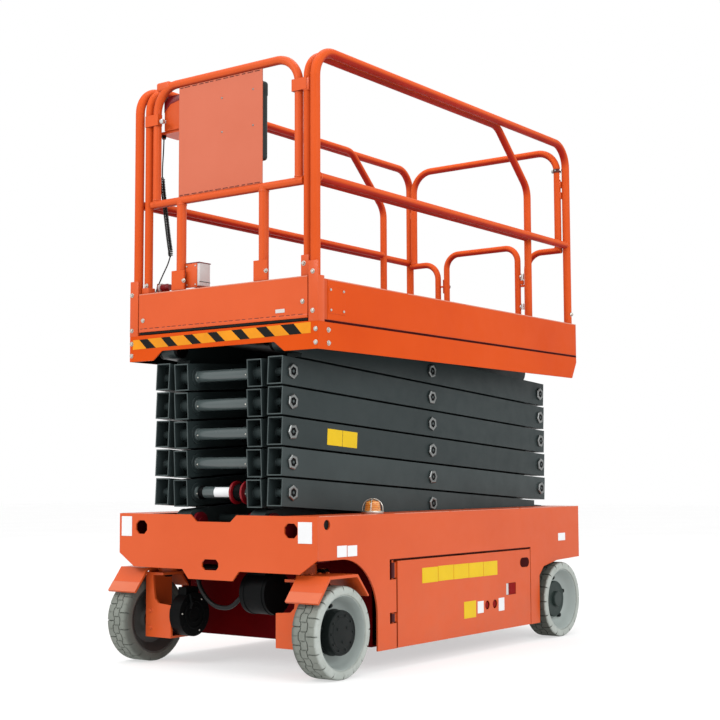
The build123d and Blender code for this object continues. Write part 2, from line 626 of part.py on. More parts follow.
save("front_rail", front_rail())
save("front_panel", front_panel())
save("control_box", control_box())
save("document_box", document_box())
save("socket_box", socket_box())
save("valve_block", valve_block())
save("cable_tail_upper", cord_tube(TAIL_UPPER, CORD_DIA, "upper tail"))
save("cable_coil", cord_tube(COIL, COIL_DIA, "coil"))
save("cable_tail_lower", cord_tube(TAIL_LOWER, CORD_DIA, "lower tail"))
save("underbody_hose", cord_tube(HOSE, HOSE_DIA, "hose"))
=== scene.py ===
import json
import math
import random

import bmesh
import bpy
from mathutils import Matrix, Vector


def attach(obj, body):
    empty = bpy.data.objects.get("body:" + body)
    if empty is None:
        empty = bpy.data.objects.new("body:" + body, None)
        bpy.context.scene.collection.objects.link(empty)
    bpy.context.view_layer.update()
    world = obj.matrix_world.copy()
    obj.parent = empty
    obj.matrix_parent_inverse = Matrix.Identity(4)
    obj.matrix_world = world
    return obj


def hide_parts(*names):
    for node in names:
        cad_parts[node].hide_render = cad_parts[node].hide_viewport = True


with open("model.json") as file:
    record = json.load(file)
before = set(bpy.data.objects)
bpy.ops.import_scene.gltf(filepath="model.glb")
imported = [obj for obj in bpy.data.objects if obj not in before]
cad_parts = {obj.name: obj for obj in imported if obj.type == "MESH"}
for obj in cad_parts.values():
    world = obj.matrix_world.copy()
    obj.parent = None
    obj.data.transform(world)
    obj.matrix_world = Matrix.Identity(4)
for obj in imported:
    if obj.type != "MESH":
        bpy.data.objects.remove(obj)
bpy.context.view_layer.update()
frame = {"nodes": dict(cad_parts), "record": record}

NODES = frame["nodes"]
rng = random.Random(11)
pi = math.pi

# ------------------------------------------------------------------ camera
CAM = Vector((5.5176, 4.0248, 0.8285))
YAW, PITCH, ROLL = 3.776898, 0.084321, -0.003828
cam_data = bpy.data.cameras.new("Camera")
cam_data.sensor_width = 36.0
cam_data.lens = 36.0 * 1374.946 / 720.0
cam_data.clip_start, cam_data.clip_end = 0.1, 100.0
cam = bpy.data.objects.new("Camera", cam_data)
bpy.context.scene.collection.objects.link(cam)
fwd = Vector((math.cos(YAW) * math.cos(PITCH), math.sin(YAW) * math.cos(PITCH), math.sin(PITCH)))
right = Vector((math.sin(YAW), -math.cos(YAW), 0.0))
up = right.cross(fwd)
r2 = right * math.cos(ROLL) + up * math.sin(ROLL)
u2 = -right * math.sin(ROLL) + up * math.cos(ROLL)
m = Matrix((r2, u2, -fwd)).transposed().to_4x4()
m.translation = CAM
cam.matrix_world = m
bpy.context.scene.camera = cam

# ------------------------------------------------------------------ light and floor
scene = bpy.context.scene
scene.view_settings.view_transform = "Standard"
scene.view_settings.look = "None"
scene.view_settings.exposure = 0.0
world = bpy.data.worlds.new("World")
scene.world = world
world.use_nodes = True
wn = world.node_tree
bg = wn.nodes["Background"]
bg.inputs["Color"].default_value = (1.0, 1.0, 1.0, 1.0)
bg.inputs["Strength"].default_value = 1.0


def area(name, loc, target, size, power, color=(1, 1, 1)):
    d = bpy.data.lights.new(name, "AREA")
    d.shape = "RECTANGLE"
    d.size, d.size_y = size
    d.energy = power
    d.color = color
    o = bpy.data.objects.new(name, d)
    scene.collection.objects.link(o)
    o.location = loc
    o.rotation_mode = "QUATERNION"
    o.rotation_quaternion = (Vector(target) - Vector(loc)).to_track_quat("-Z", "Y")
    return o


area("key", (6.5, -1.5, 5.5), (0.4, 0.0, 1.2), (4.0, 3.0), 250.0, (1.0, 0.99, 0.975))
area("fill", (1.5, 6.5, 4.0), (0.0, 0.0, 1.2), (5.0, 3.0), 210.0, (0.985, 0.99, 1.0))
area("top", (0.0, 0.0, 6.5), (0.0, 0.0, 0.0), (5.0, 4.0), 160.0)


# ------------------------------------------------------------------ materials
def new_mat(name):
    mt = bpy.data.materials.new(name)
    mt.use_nodes = True
    nt = mt.node_tree
    return mt, nt, nt.nodes["Principled BSDF"]


def node(nt, kind, **inputs):
    n = nt.nodes.new(kind)
    for k, v in inputs.items():
        n.inputs[k].default_value = v
    return n


def coords(nt):
    return nt.nodes.new("ShaderNodeTexCoord").outputs["Object"]


def noise(nt, scale, detail=3.0, rough=0.55, vec=None):
    n = node(nt, "ShaderNodeTexNoise", Scale=scale, Detail=detail, Roughness=rough)
    nt.links.new(vec or coords(nt), n.inputs["Vector"])
    return n.outputs["Fac"]


def ramp(nt, fac, stops):
    r = nt.nodes.new("ShaderNodeValToRGB")
    e = r.color_ramp.elements
    while len(e) < len(stops):
        e.new(0.5)
    for k, (p, c) in enumerate(stops):
        e[k].position = p
        e[k].color = (*c, 1.0) if len(c) == 3 else c
    nt.links.new(fac, r.inputs["Fac"])
    return r.outputs["Color"]


def maprange(nt, fac, a, b, c, d):
    n = node(nt, "ShaderNodeMapRange", **{"From Min": a, "From Max": b, "To Min": c, "To Max": d})
    nt.links.new(fac, n.inputs["Value"])
    return n.outputs["Result"]


def mixcol(nt, fac, a, b):
    n = nt.nodes.new("ShaderNodeMix")
    n.data_type = "RGBA"
    if isinstance(fac, float):
        n.inputs[0].default_value = fac
    else:
        nt.links.new(fac, n.inputs[0])
    for s, v in ((n.inputs[6], a), (n.inputs[7], b)):
        if isinstance(v, tuple):
            s.default_value = (*v, 1.0)
        else:
            nt.links.new(v, s)
    return n.outputs[2]


def edge_mask(nt, radius, lo=0.02, hi=0.35):
    """1 on rubbed edges, where the rounded normal leaves the flat one; on the charcoal arms these edges carry a painted
    highlight.
    """
    bev = node(nt, "ShaderNodeBevel", Radius=radius)
    bev.samples = 4
    geo = nt.nodes.new("ShaderNodeNewGeometry")
    dot = nt.nodes.new("ShaderNodeVectorMath")
    dot.operation = "DOT_PRODUCT"
    nt.links.new(bev.outputs["Normal"], dot.inputs[0])
    nt.links.new(geo.outputs["Normal"], dot.inputs[1])
    return maprange(nt, dot.outputs["Value"], 1.0 - lo, 1.0 - hi, 0.0, 1.0)


def bump(nt, bsdf, height, strength, distance, bevel=0.0):
    b = node(nt, "ShaderNodeBump", Strength=strength, Distance=distance)
    nt.links.new(height, b.inputs["Height"])
    if bevel:
        bev = node(nt, "ShaderNodeBevel", Radius=bevel)
        bev.samples = 4
        nt.links.new(bev.outputs["Normal"], b.inputs["Normal"])
    nt.links.new(b.outputs["Normal"], bsdf.inputs["Normal"])


def math_node(nt, op, a, b):
    n = nt.nodes.new("ShaderNodeMath")
    n.operation = op
    for s, v in ((n.inputs[0], a), (n.inputs[1], b)):
        if isinstance(v, (int, float)):
            s.default_value = v
        else:
            nt.links.new(v, s)
    return n.outputs[0]


def facing(nt, direction):
    """1 where the surface faces along direction, in the object's own axes."""
    tc = nt.nodes.new("ShaderNodeTexCoord")
    dot = nt.nodes.new("ShaderNodeVectorMath")
    dot.operation = "DOT_PRODUCT"
    nt.links.new(tc.outputs["Normal"], dot.inputs[0])
    dot.inputs[1].default_value = direction
    return math_node(nt, "GREATER_THAN", dot.outputs["Value"], 0.5)


def downward(nt, start=0.02, full=-0.50, most=0.92):
    """0 on tops, rising to most where the surface looks at the ground."""
    tc = nt.nodes.new("ShaderNodeTexCoord")
    sep = nt.nodes.new("ShaderNodeSeparateXYZ")
    nt.links.new(tc.outputs["Normal"], sep.inputs[0])
    return maprange(nt, sep.outputs["Z"], start, full, 0.0, most)


def inside(nt, tests):
    """1 where every (axis, sign, limit) test holds; axis may be X, Y, Z or |Y|."""
    sep = nt.nodes.new("ShaderNodeSeparateXYZ")
    nt.links.new(coords(nt), sep.inputs[0])
    out = None
    for axis, op, limit in tests:
        v = sep.outputs[axis.strip("|")]
        if axis.startswith("|"):
            v = math_node(nt, "ABSOLUTE", v, 0.0)
        t = math_node(nt, op, v, limit)
        out = t if out is None else math_node(nt, "MULTIPLY", out, t)
    return out


def paint(name, col, light, dark, rough=(0.34, 0.46), coat=0.06, wear_and_highlight=None, wear_and_highlight_amt=0.5, dirt=0.0, bevel=0.002,
          shade_and_tone_mask=None, shade_and_tone_col=(0.13, 0.004, 0.009), spec=0.22):
    """Sprayed enamel: faint tone drift, orange-peel bump, uneven gloss and rubbed edges; on the charcoal arms the
    lighter rubbed edges are a painted edge highlight.
    The mask function passed in gives where the colour is swapped: on most materials to a painted shade on hidden,
    inward and downward sides, on the toe boards to a second orange tone."""
    mt, nt, b = new_mat(name)
    co = coords(nt)
    drift = noise(nt, 1.6, 4.0, 0.6, co)
    c = ramp(nt, drift, [(0.30, dark), (0.52, col), (0.75, light)])
    speck = noise(nt, 70.0, 3.0, 0.6, co)
    c = mixcol(nt, maprange(nt, speck, 0.66, 0.78, 0.0, 0.16), c, dark)
    if dirt:
        sep = nt.nodes.new("ShaderNodeSeparateXYZ")
        nt.links.new(co, sep.inputs[0])
        low = maprange(nt, sep.outputs["Z"], 0.45, 0.08, 0.0, 1.0)
        grime = noise(nt, 9.0, 6.0, 0.65, co)
        mul = nt.nodes.new("ShaderNodeMath")
        mul.operation = "MULTIPLY"
        nt.links.new(low, mul.inputs[0])
        nt.links.new(maprange(nt, grime, 0.42, 0.70, 0.0, dirt), mul.inputs[1])
        c = mixcol(nt, mul.outputs[0], c, (0.19, 0.13, 0.09))
    # rubbed edges in a lighter colour; on the charcoal arms this is a painted edge highlight
    if wear_and_highlight:
        em = edge_mask(nt, 0.0022)
        chips = noise(nt, 34.0, 5.0, 0.7, co)
        mul = nt.nodes.new("ShaderNodeMath")
        mul.operation = "MULTIPLY"
        nt.links.new(em, mul.inputs[0])
        nt.links.new(maprange(nt, chips, 0.44, 0.60, 0.12, 1.0), mul.inputs[1])
        sc = nt.nodes.new("ShaderNodeMath")
        sc.operation = "MULTIPLY"
        sc.inputs[1].default_value = wear_and_highlight_amt
        nt.links.new(mul.outputs[0], sc.inputs[0])
        c = mixcol(nt, sc.outputs[0], c, wear_and_highlight)
    # painted shade: masked faces take the darker shade colour; the toe boards use this for a second orange tone
    if shade_and_tone_mask:
        tone = ramp(nt, noise(nt, 5.0, 4.0, 0.6, co), [(0.35, tuple(x * 0.75 for x in shade_and_tone_col)), (0.68, shade_and_tone_col)])
        c = mixcol(nt, shade_and_tone_mask(nt), c, tone)
    nt.links.new(c, b.inputs["Base Color"])
    nt.links.new(maprange(nt, noise(nt, 14.0, 4.0, 0.6, co), 0.35, 0.68, rough[0], rough[1]), b.inputs["Roughness"])
    b.inputs["Coat Weight"].default_value = coat
    b.inputs["Coat Roughness"].default_value = 0.12
    b.inputs["Specular IOR Level"].default_value = spec
    bump(nt, b, noise(nt, 260.0, 2.0, 0.5, co), 0.05, 0.001, bevel)
    return mt


ORANGE_TONES = ((0.530, 0.074, 0.0130), (0.555, 0.082, 0.0165), (0.500, 0.066, 0.0100))
ORANGE = paint("orange_paint", *ORANGE_TONES, wear_and_highlight=(0.66, 0.20, 0.11), wear_and_highlight_amt=0.45, dirt=0.12)


TOE_TONES = ((0.520, 0.058, 0.0030), (0.545, 0.066, 0.0050), (0.485, 0.050, 0.0020))
TOE = paint("toe_board_orange", *TOE_TONES, wear_and_highlight=(0.64, 0.16, 0.07), wear_and_highlight_amt=0.4, coat=0.0, spec=0.08)


# orange paint with a painted shade colour (dark red unless given) where the mask holds
def orange_shell(name, mask, shade_and_tone_col=(0.13, 0.004, 0.009), tones=ORANGE_TONES, spec=0.22, coat=0.06):
    return paint(name, *tones, wear_and_highlight=(0.66, 0.20, 0.11), wear_and_highlight_amt=0.35, dirt=0.12, shade_and_tone_mask=mask, shade_and_tone_col=shade_and_tone_col,
                 spec=spec, coat=coat)


TOE_SIDES = orange_shell("toe_boards_orange", lambda nt: inside(nt, [("|Y|", "GREATER_THAN", 0.5380)]),
                         (0.520, 0.058, 0.0030))
# painted shade mask of a door: its inward faces and the hinge pocket beyond x 0.581
def door_shade_mask(nt, inward):
    pocket = inside(nt, [("X", "GREATER_THAN", 0.5810)])
    return math_node(nt, "MAXIMUM", facing(nt, inward), pocket)


# doors, side panels and front plate: painted shade on the inward faces, near-black on the doors and their hinge pocket,
# dark red elsewhere
DOOR_LEFT = orange_shell("orange_door_left", lambda nt: door_shade_mask(nt, (0.0, -1.0, 0.0)), (0.060, 0.0020, 0.0040))
DOOR_RIGHT = orange_shell("orange_door_right", lambda nt: door_shade_mask(nt, (0.0, 1.0, 0.0)), (0.060, 0.0020, 0.0040))
SHELL_LEFT = orange_shell("orange_shell_left", lambda nt: facing(nt, (0.0, -1.0, 0.0)))
SHELL_RIGHT = orange_shell("orange_shell_right", lambda nt: facing(nt, (0.0, 1.0, 0.0)))
SHELL_FRONT = orange_shell("orange_shell_front", lambda nt: facing(nt, (-1.0, 0.0, 0.0)))
# chassis frame: dark red painted shade on all faces below z 0.70 except the outer face of the rear plate
FRAME_PAINTED_SHADE = orange_shell("frame_painted_shade", lambda nt: inside(nt, [("X", "GREATER_THAN", -1.1346),
                                                                  ("Z", "LESS_THAN", 0.700)]), spec=0.10, coat=0.0)
# belly tray and rear axle: dark red painted shade on every face
TRAY_PAINTED_SHADE = orange_shell("tray_painted_shade", lambda nt: inside(nt, [("Z", "GREATER_THAN", 0.0)]), (0.095, 0.0006, 0.0016),
                        spec=0.02, coat=0.0)
# platform deck: near-black painted shade on the underside between the side plates
DECK_SHADED_UNDERSIDE = orange_shell("deck_painted_shade_under", lambda nt: inside(nt, [("|Y|", "LESS_THAN", 0.5402),
                                                                    ("Z", "LESS_THAN", 1.4622),
                                                                    ("X", "LESS_THAN", 1.0862),
                                                                    ("X", "GREATER_THAN", -1.1732)]),
                          (0.0022, 0.0018, 0.0018), tones=TOE_TONES, spec=0.06, coat=0.0)
# arm paint; its lighter rubbed-edge colour is a painted edge highlight
CHARCOAL = paint("charcoal_paint", (0.0205, 0.0295, 0.0300), (0.0250, 0.0350, 0.0355), (0.0165, 0.0245, 0.0250),
                 rough=(0.34, 0.5), coat=0.0, spec=0.18, wear_and_highlight=(0.15, 0.18, 0.18), wear_and_highlight_amt=0.75)
# lighter copy of the arm paint for the lowest arms: painted light, the upper arms left darker as in the shade of the
# deck
CHARCOAL_LIT_LOW = paint("charcoal_paint_lit_low", (0.0310, 0.0430, 0.0435), (0.0370, 0.0500, 0.0505), (0.0250, 0.0355, 0.0360),
                     rough=(0.34, 0.5), coat=0.0, spec=0.20, wear_and_highlight=(0.16, 0.19, 0.19), wear_and_highlight_amt=0.75)
# lighter grey for the bands at the tube ends: painted highlight on the cut tube walls; also the grey centres of the pin
# nuts
GREY_AND_HIGHLIGHT = paint("grey_paint_and_painted_highlight", (0.050, 0.066, 0.066), (0.070, 0.088, 0.088), (0.034, 0.046, 0.046),
                 rough=(0.3, 0.45), coat=0.0)
BLACK = paint("black_enamel", (0.0020, 0.0023, 0.0025), (0.0034, 0.0038, 0.0040), (0.0014, 0.0016, 0.0018),
              rough=(0.36, 0.55), coat=0.0, spec=0.05, wear_and_highlight=(0.020, 0.022, 0.022), wear_and_highlight_amt=0.5)
HUB = paint("hub_black", (0.0042, 0.0068, 0.0064), (0.0066, 0.0100, 0.0094), (0.0030, 0.0048, 0.0046),
            rough=(0.38, 0.55), coat=0.0, spec=0.14, wear_and_highlight=(0.06, 0.07, 0.07), wear_and_highlight_amt=0.7)
BAR = paint("bar_paint", (0.058, 0.076, 0.076), (0.068, 0.088, 0.088), (0.048, 0.064, 0.064),
            rough=(0.20, 0.28), coat=0.35, spec=0.40)
# rim paint; the inner side (|Y| below 0.516) turns dark grey as painted shade
RIMGREY = paint("rim_grey", (0.330, 0.372, 0.355), (0.365, 0.405, 0.388), (0.285, 0.322, 0.306),
                rough=(0.34, 0.5), coat=0.05, wear_and_highlight=(0.46, 0.49, 0.48), wear_and_highlight_amt=0.3,
                shade_and_tone_mask=lambda nt: inside(nt, [("|Y|", "LESS_THAN", 0.516)]), shade_and_tone_col=(0.050, 0.050, 0.047))
REDPAINT = paint("red_paint", (0.215, 0.004, 0.009), (0.26, 0.006, 0.012), (0.15, 0.003, 0.006),
                 rough=(0.3, 0.42), coat=0.1)
PANEL = paint("panel_orange", (0.470, 0.112, 0.058), (0.490, 0.122, 0.066), (0.450, 0.102, 0.050),
              rough=(0.40, 0.52), coat=0.03, wear_and_highlight=(0.66, 0.24, 0.15), wear_and_highlight_amt=0.3)
HUBGREY = paint("hub_cover", (0.0190, 0.0300, 0.0270), (0.0240, 0.0360, 0.0325), (0.0150, 0.0240, 0.0215),
                rough=(0.36, 0.48), coat=0.0, spec=0.18)
# rail and gate paint: dark red painted shade on downward-facing sides (on the front rail only faces turned well down)
RAIL = paint("rail_orange", *ORANGE_TONES, rough=(0.40, 0.52), coat=0.0, wear_and_highlight=(0.66, 0.20, 0.11), wear_and_highlight_amt=0.35,
             shade_and_tone_mask=lambda nt: downward(nt), shade_and_tone_col=(0.30, 0.012, 0.008), spec=0.06)
RAIL_FRONT = paint("front_rail_orange", *ORANGE_TONES, rough=(0.36, 0.48), coat=0.0, wear_and_highlight=(0.66, 0.20, 0.11),
                   wear_and_highlight_amt=0.35, shade_and_tone_mask=lambda nt: downward(nt, -0.60, -0.95, 0.8), shade_and_tone_col=(0.22, 0.010, 0.008),
                   spec=0.15)
# pale strip on the fender front slope: painted highlight
FENDER_HIGHLIGHT = paint("fender_painted_highlight", (0.545, 0.125, 0.055), (0.57, 0.160, 0.085), (0.53, 0.100, 0.035), rough=(0.3, 0.42))
# pale pink strip on folded edges: painted highlight
LIP_HIGHLIGHT = paint("lip_painted_highlight", (0.56, 0.200, 0.130), (0.60, 0.250, 0.175), (0.54, 0.150, 0.085), rough=(0.22, 0.34), coat=0.3)


def metal(name, col, rough, scale=220.0, streak=(1.0, 1.0, 9.0)):
    mt, nt, b = new_mat(name)
    co = coords(nt)
    mp = node(nt, "ShaderNodeMapping", Scale=streak)
    nt.links.new(co, mp.inputs["Vector"])
    g = noise(nt, scale, 3.0, 0.6, mp.outputs["Vector"])
    nt.links.new(maprange(nt, g, 0.3, 0.7, rough * 0.75, rough * 1.35), b.inputs["Roughness"])
    t = tuple(x * 0.8 for x in col)
    nt.links.new(ramp(nt, noise(nt, 18.0, 4.0, 0.6, co), [(0.35, t), (0.62, col)]), b.inputs["Base Color"])
    b.inputs["Metallic"].default_value = 1.0
    bump(nt, b, g, 0.04, 0.0006, 0.0008)
    return mt


ZINC = metal("zinc_plate", (0.56, 0.54, 0.49), 0.34)
DULLZINC = metal("dull_zinc", (0.235, 0.245, 0.240), 0.36)
CHROME = metal("polished_rod", (0.82, 0.83, 0.85), 0.10, 300.0)
STEEL = metal("machined_steel", (0.58, 0.59, 0.58), 0.28)


def plastic(name, col, rough=0.45, scale=420.0, strength=0.12, spread=0.15, spec=0.4):
    mt, nt, b = new_mat(name)
    co = coords(nt)
    t = tuple(x * (1 - spread) for x in col)
    u = tuple(min(1.0, x * (1 + spread)) for x in col)
    nt.links.new(ramp(nt, noise(nt, 7.0, 4.0, 0.6, co), [(0.35, t), (0.65, u)]), b.inputs["Base Color"])
    nt.links.new(maprange(nt, noise(nt, 24.0, 3.0, 0.6, co), 0.3, 0.7, rough * 0.85, rough * 1.15),
                 b.inputs["Roughness"])
    b.inputs["Specular IOR Level"].default_value = spec
    bump(nt, b, noise(nt, scale, 2.0, 0.5, co), strength, 0.0008, 0.0012)
    return mt


BLKPLASTIC = plastic("black_plastic", (0.0060, 0.0125, 0.0128), 0.4, spec=0.25)
# near-black for gaps and holes: painted shade
SHADE_BLACK = plastic("painted_shade_black", (0.006, 0.007, 0.007), 0.8, spec=0.15)
RUBBER = plastic("black_rubber", (0.0048, 0.0055, 0.0053), 0.46, 300.0, 0.1, spec=0.2)
WHITE = plastic("white_label", (0.66, 0.67, 0.68), 0.4, 300.0, 0.02, 0.02)
YELLOW = plastic("yellow_label", (0.62, 0.41, 0.006), 0.42, 300.0, 0.02, 0.04, spec=0.15)
AMBERTAPE = plastic("amber_tape", (0.60, 0.215, 0.004), 0.5, 500.0, 0.06, 0.08, spec=0.15)
BLACKTAPE = plastic("black_tape", (0.0045, 0.0042, 0.0036), 0.5, 500.0, 0.06, spec=0.12)
PALEGREY = plastic("pale_plastic", (0.50, 0.48, 0.47), 0.5, 300.0, 0.06, 0.05)
# dark red plastic; on the control box it is a painted shadow
DARK_RED_AND_SHADE = plastic("dark_red_plastic_and_painted_shade", (0.15, 0.003, 0.007), 0.4, 300.0, 0.05, 0.1)
# dark red lining of the door recess: painted shade
RECESS_SHADE_RED = plastic("recess_painted_shade", (0.20, 0.008, 0.008), 0.6, 300.0, 0.05, 0.1, spec=0.03)
SEAM = plastic("seam_shadow", (0.032, 0.0012, 0.0016), 0.7, 300.0, 0.1, 0.2, spec=0.05)
BROWN = plastic("weld_bead", (0.085, 0.008, 0.005), 0.7, 300.0, 0.3, 0.3)

# grey non-marking tyre; the outer sidewall is lighter than the tread as painted light, and the rear treads and the
# inner sides are darkened as painted shade
TYRE, nt, b = new_mat("tyre_grey")
co = coords(nt)
grain = noise(nt, 11.0, 5.0, 0.65, co)
tread = ramp(nt, grain, [(0.30, (0.150, 0.162, 0.142)), (0.55, (0.182, 0.196, 0.174)), (0.78, (0.222, 0.236, 0.212))])
# lighter sidewall colour: painted light on the outward side
wall = ramp(nt, grain, [(0.30, (0.300, 0.326, 0.300)), (0.55, (0.350, 0.378, 0.352)), (0.78, (0.400, 0.428, 0.402))])
sepx = nt.nodes.new("ShaderNodeSeparateXYZ")
nt.links.new(co, sepx.inputs[0])
# rear wheels: tread darkened as painted shade
tread = mixcol(nt, math_node(nt, "LESS_THAN", sepx.outputs["X"], -0.5), tread, (0.060, 0.064, 0.054))
tcn = nt.nodes.new("ShaderNodeTexCoord")
sepn = nt.nodes.new("ShaderNodeSeparateXYZ")
nt.links.new(tcn.outputs["Normal"], sepn.inputs[0])
side = maprange(nt, math_node(nt, "ABSOLUTE", sepn.outputs["Y"], 0.0), 0.35, 0.85, 0.0, 1.0)
outer = maprange(nt, math_node(nt, "ABSOLUTE", sepx.outputs["Y"], 0.0), 0.574, 0.582, 0.0, 1.0)
c = mixcol(nt, math_node(nt, "MULTIPLY", side, outer), tread, wall)
scuff = noise(nt, 55.0, 6.0, 0.7, co)
c = mixcol(nt, maprange(nt, scuff, 0.58, 0.74, 0.0, 0.40), c, (0.115, 0.120, 0.104))
sepp = nt.nodes.new("ShaderNodeSeparateXYZ")
nt.links.new(co, sepp.inputs[0])
# darker towards the inner side: painted shade
c = mixcol(nt, maprange(nt, math_node(nt, "ABSOLUTE", sepp.outputs["Y"], 0.0), 0.492, 0.474, 0.0, 0.55), c,
           (0.020, 0.018, 0.016))
nt.links.new(c, b.inputs["Base Color"])
b.inputs["Roughness"].default_value = 0.82
b.inputs["Specular IOR Level"].default_value = 0.2
bump(nt, b, noise(nt, 160.0, 5.0, 0.65, co), 0.35, 0.0012, 0.0015)

# amber lens and its clear highlight
AMBER, nt, b = new_mat("amber_lens")
co = coords(nt)
wv = node(nt, "ShaderNodeTexWave", Scale=38.0, Distortion=0.0)
wv.bands_direction = "Z"
nt.links.new(co, wv.inputs["Vector"])
nt.links.new(ramp(nt, wv.outputs["Fac"], [(0.2, (0.52, 0.14, 0.012)), (0.8, (0.66, 0.28, 0.04))]), b.inputs["Base Color"])
b.inputs["Roughness"].default_value = 0.08
b.inputs["Coat Weight"].default_value = 1.0
b.inputs["Coat Roughness"].default_value = 0.03
b.inputs["Subsurface Weight"].default_value = 0.25
b.inputs["Subsurface Radius"].default_value = (0.03, 0.012, 0.004)
bump(nt, b, wv.outputs["Fac"], 0.25, 0.001)


# ------------------------------------------------------------------ mesh helpers
class Part:
    """One piece in the making: its mesh, its material slots and the body it rides on."""

    def __init__(self, name, body, *mats):
        self.name, self.body, self.mats = name, body, list(mats)
        self.bm = bmesh.new()

    def _mark(self, faces, mat, smooth):
        k = self.mats.index(mat) if mat is not None else 0
        for f in faces:
            f.material_index = k
            f.smooth = smooth

    def box(self, x, y, z, mat=None, bevel=0.0015, seg=2, matrix=None):
        (x0, x1), (y0, y1), (z0, z1) = x, y, z
        mm = Matrix.Translation(((x0 + x1) / 2, (y0 + y1) / 2, (z0 + z1) / 2)) @ Matrix.Diagonal(
            (abs(x1 - x0), abs(y1 - y0), abs(z1 - z0), 1.0))
        if matrix is not None:
            mm = matrix @ mm
        r = bmesh.ops.create_cube(self.bm, size=1.0, matrix=mm)
        vs = r["verts"]
        faces = set(f for v in vs for f in v.link_faces)
        if bevel:
            es = set(e for v in vs for e in v.link_edges)
            rb = bmesh.ops.bevel(self.bm, geom=list(es), offset=bevel, segments=seg, affect="EDGES", profile=0.5)
            faces = set(f for v in rb["verts"] for f in v.link_faces)
        self._mark(faces, mat, False)
        return faces

    def prism(self, pts, axis, a, b, mat=None, bevel=0.0, seg=2):
        """Outline in the two other axes (X Y Z order) pushed from a to b along axis."""
        def at(p, h):
            q = list(p)
            q.insert({"x": 0, "y": 1, "z": 2}[axis], h)
            return Vector(q)
        lo = [self.bm.verts.new(at(p, a)) for p in pts]
        hi = [self.bm.verts.new(at(p, b)) for p in pts]
        n = len(pts)
        faces = [self.bm.faces.new([lo[i], lo[(i + 1) % n], hi[(i + 1) % n], hi[i]]) for i in range(n)]
        faces.append(self.bm.faces.new(lo[::-1]))
        faces.append(self.bm.faces.new(hi))
        bmesh.ops.recalc_face_normals(self.bm, faces=faces)
        if bevel:
            es = set(e for f in faces for e in f.edges)
            rb = bmesh.ops.bevel(self.bm, geom=list(es), offset=bevel, segments=seg, affect="EDGES", profile=0.5)
            faces = set(f for v in rb["verts"] for f in v.link_faces)
        self._mark(faces, mat, False)
        return faces

    def lathe(self, profile, base, axis, mat=None, seg=32, smooth=True, phase=0.0, closed=False):
        """profile [(radius, height)] turned round axis from base; open ends on the axis are capped."""
        z = Vector(axis).normalized()
        x = z.orthogonal().normalized()
        y = z.cross(x)
        base = Vector(base)
        rings = []
        for r, h in profile:
            if r < 1e-7:
                rings.append([self.bm.verts.new(base + z * h)])
            else:
                rings.append([self.bm.verts.new(base + z * h + (x * math.cos(t) + y * math.sin(t)) * r)
                              for t in (2 * pi * k / seg + phase for k in range(seg))])
        faces = []
        pairs = list(zip(rings, rings[1:])) + ([(rings[-1], rings[0])] if closed else [])
        for a, b in pairs:
            for k in range(seg):
                k2 = (k + 1) % seg
                if len(a) == 1 and len(b) == 1:
                    continue
                if len(a) == 1:
                    faces.append(self.bm.faces.new([a[0], b[k], b[k2]]))
                elif len(b) == 1:
                    faces.append(self.bm.faces.new([a[k], b[0], a[k2]]))
                else:
                    faces.append(self.bm.faces.new([a[k], b[k], b[k2], a[k2]]))
        bmesh.ops.recalc_face_normals(self.bm, faces=faces)
        self._mark(faces, mat, smooth)
        return faces

    def tube(self, pts, r, mat=None, seg=12, caps=True):
        """Round tube along a list of points."""
        pts = [Vector(p) for p in pts]
        rings = []
        prev = None
        for i, p in enumerate(pts):
            d = (pts[min(i + 1, len(pts) - 1)] - pts[max(i - 1, 0)]).normalized()
            x = (prev - d * prev.dot(d)).normalized() if prev is not None else d.orthogonal().normalized()
            prev = x
            y = d.cross(x)
            rr = r[i] if isinstance(r, (list, tuple)) else r
            rings.append([self.bm.verts.new(p + (x * math.cos(t) + y * math.sin(t)) * rr)
                          for t in (2 * pi * k / seg for k in range(seg))])
        faces = []
        for a, b in zip(rings, rings[1:]):
            for k in range(seg):
                k2 = (k + 1) % seg
                faces.append(self.bm.faces.new([a[k], a[k2], b[k2], b[k]]))
        self._mark(faces, mat, True)
        if caps:
            fs = [self.bm.faces.new(rings[0][::-1]), self.bm.faces.new(rings[-1])]
            self._mark(fs, mat, False)
            faces += fs
        return faces

    def bolt(self, p, n, r=0.009, h=0.007, mat=None, washer=True, spin=0.0):
        """Hexagon head with a chamfered top, on its washer."""
        p, n = Vector(p), Vector(n).normalized()
        base = 0.0
        if washer:
            self.lathe([(0, 0), (r * 1.35, 0), (r * 1.35, 0.0012), (r * 1.25, 0.0018), (0, 0.0018)], p, n, mat, 20, False)
            base = 0.0015
        self.lathe([(r, base), (r, base + h * 0.72), (r * 0.84, base + h), (0, base + h)], p, n, mat, 6, False, spin)

    def dome(self, p, n, r=0.009, h=0.006, mat=None, seg=16):
        """Button head."""
        prof = [(r * math.cos(t), h * math.sin(t)) for t in (0, 0.35, 0.7, 1.05, 1.35)] + [(0, h)]
        self.lathe([(r, -0.001)] + prof, p, n, mat, seg)

    def done(self, angle=40.0, bevel=0.0, weld=False):
        if weld:
            bmesh.ops.remove_doubles(self.bm, verts=self.bm.verts, dist=1e-6)
        me = bpy.data.meshes.new(self.name)
        self.bm.to_mesh(me)
        self.bm.free()
        o = bpy.data.objects.new(self.name, me)
        scene.collection.objects.link(o)
        for mt in self.mats:
            me.materials.append(mt)
        me.set_sharp_from_angle(angle=math.radians(angle))
        for p in me.polygons:
            p.use_smooth = True
        if bevel:
            bv = o.modifiers.new("Bevel", "BEVEL")
            bv.width, bv.segments, bv.limit_method, bv.angle_limit = bevel, 2, "ANGLE", math.radians(35)
        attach(o, self.body)
        self.obj = o
        return o


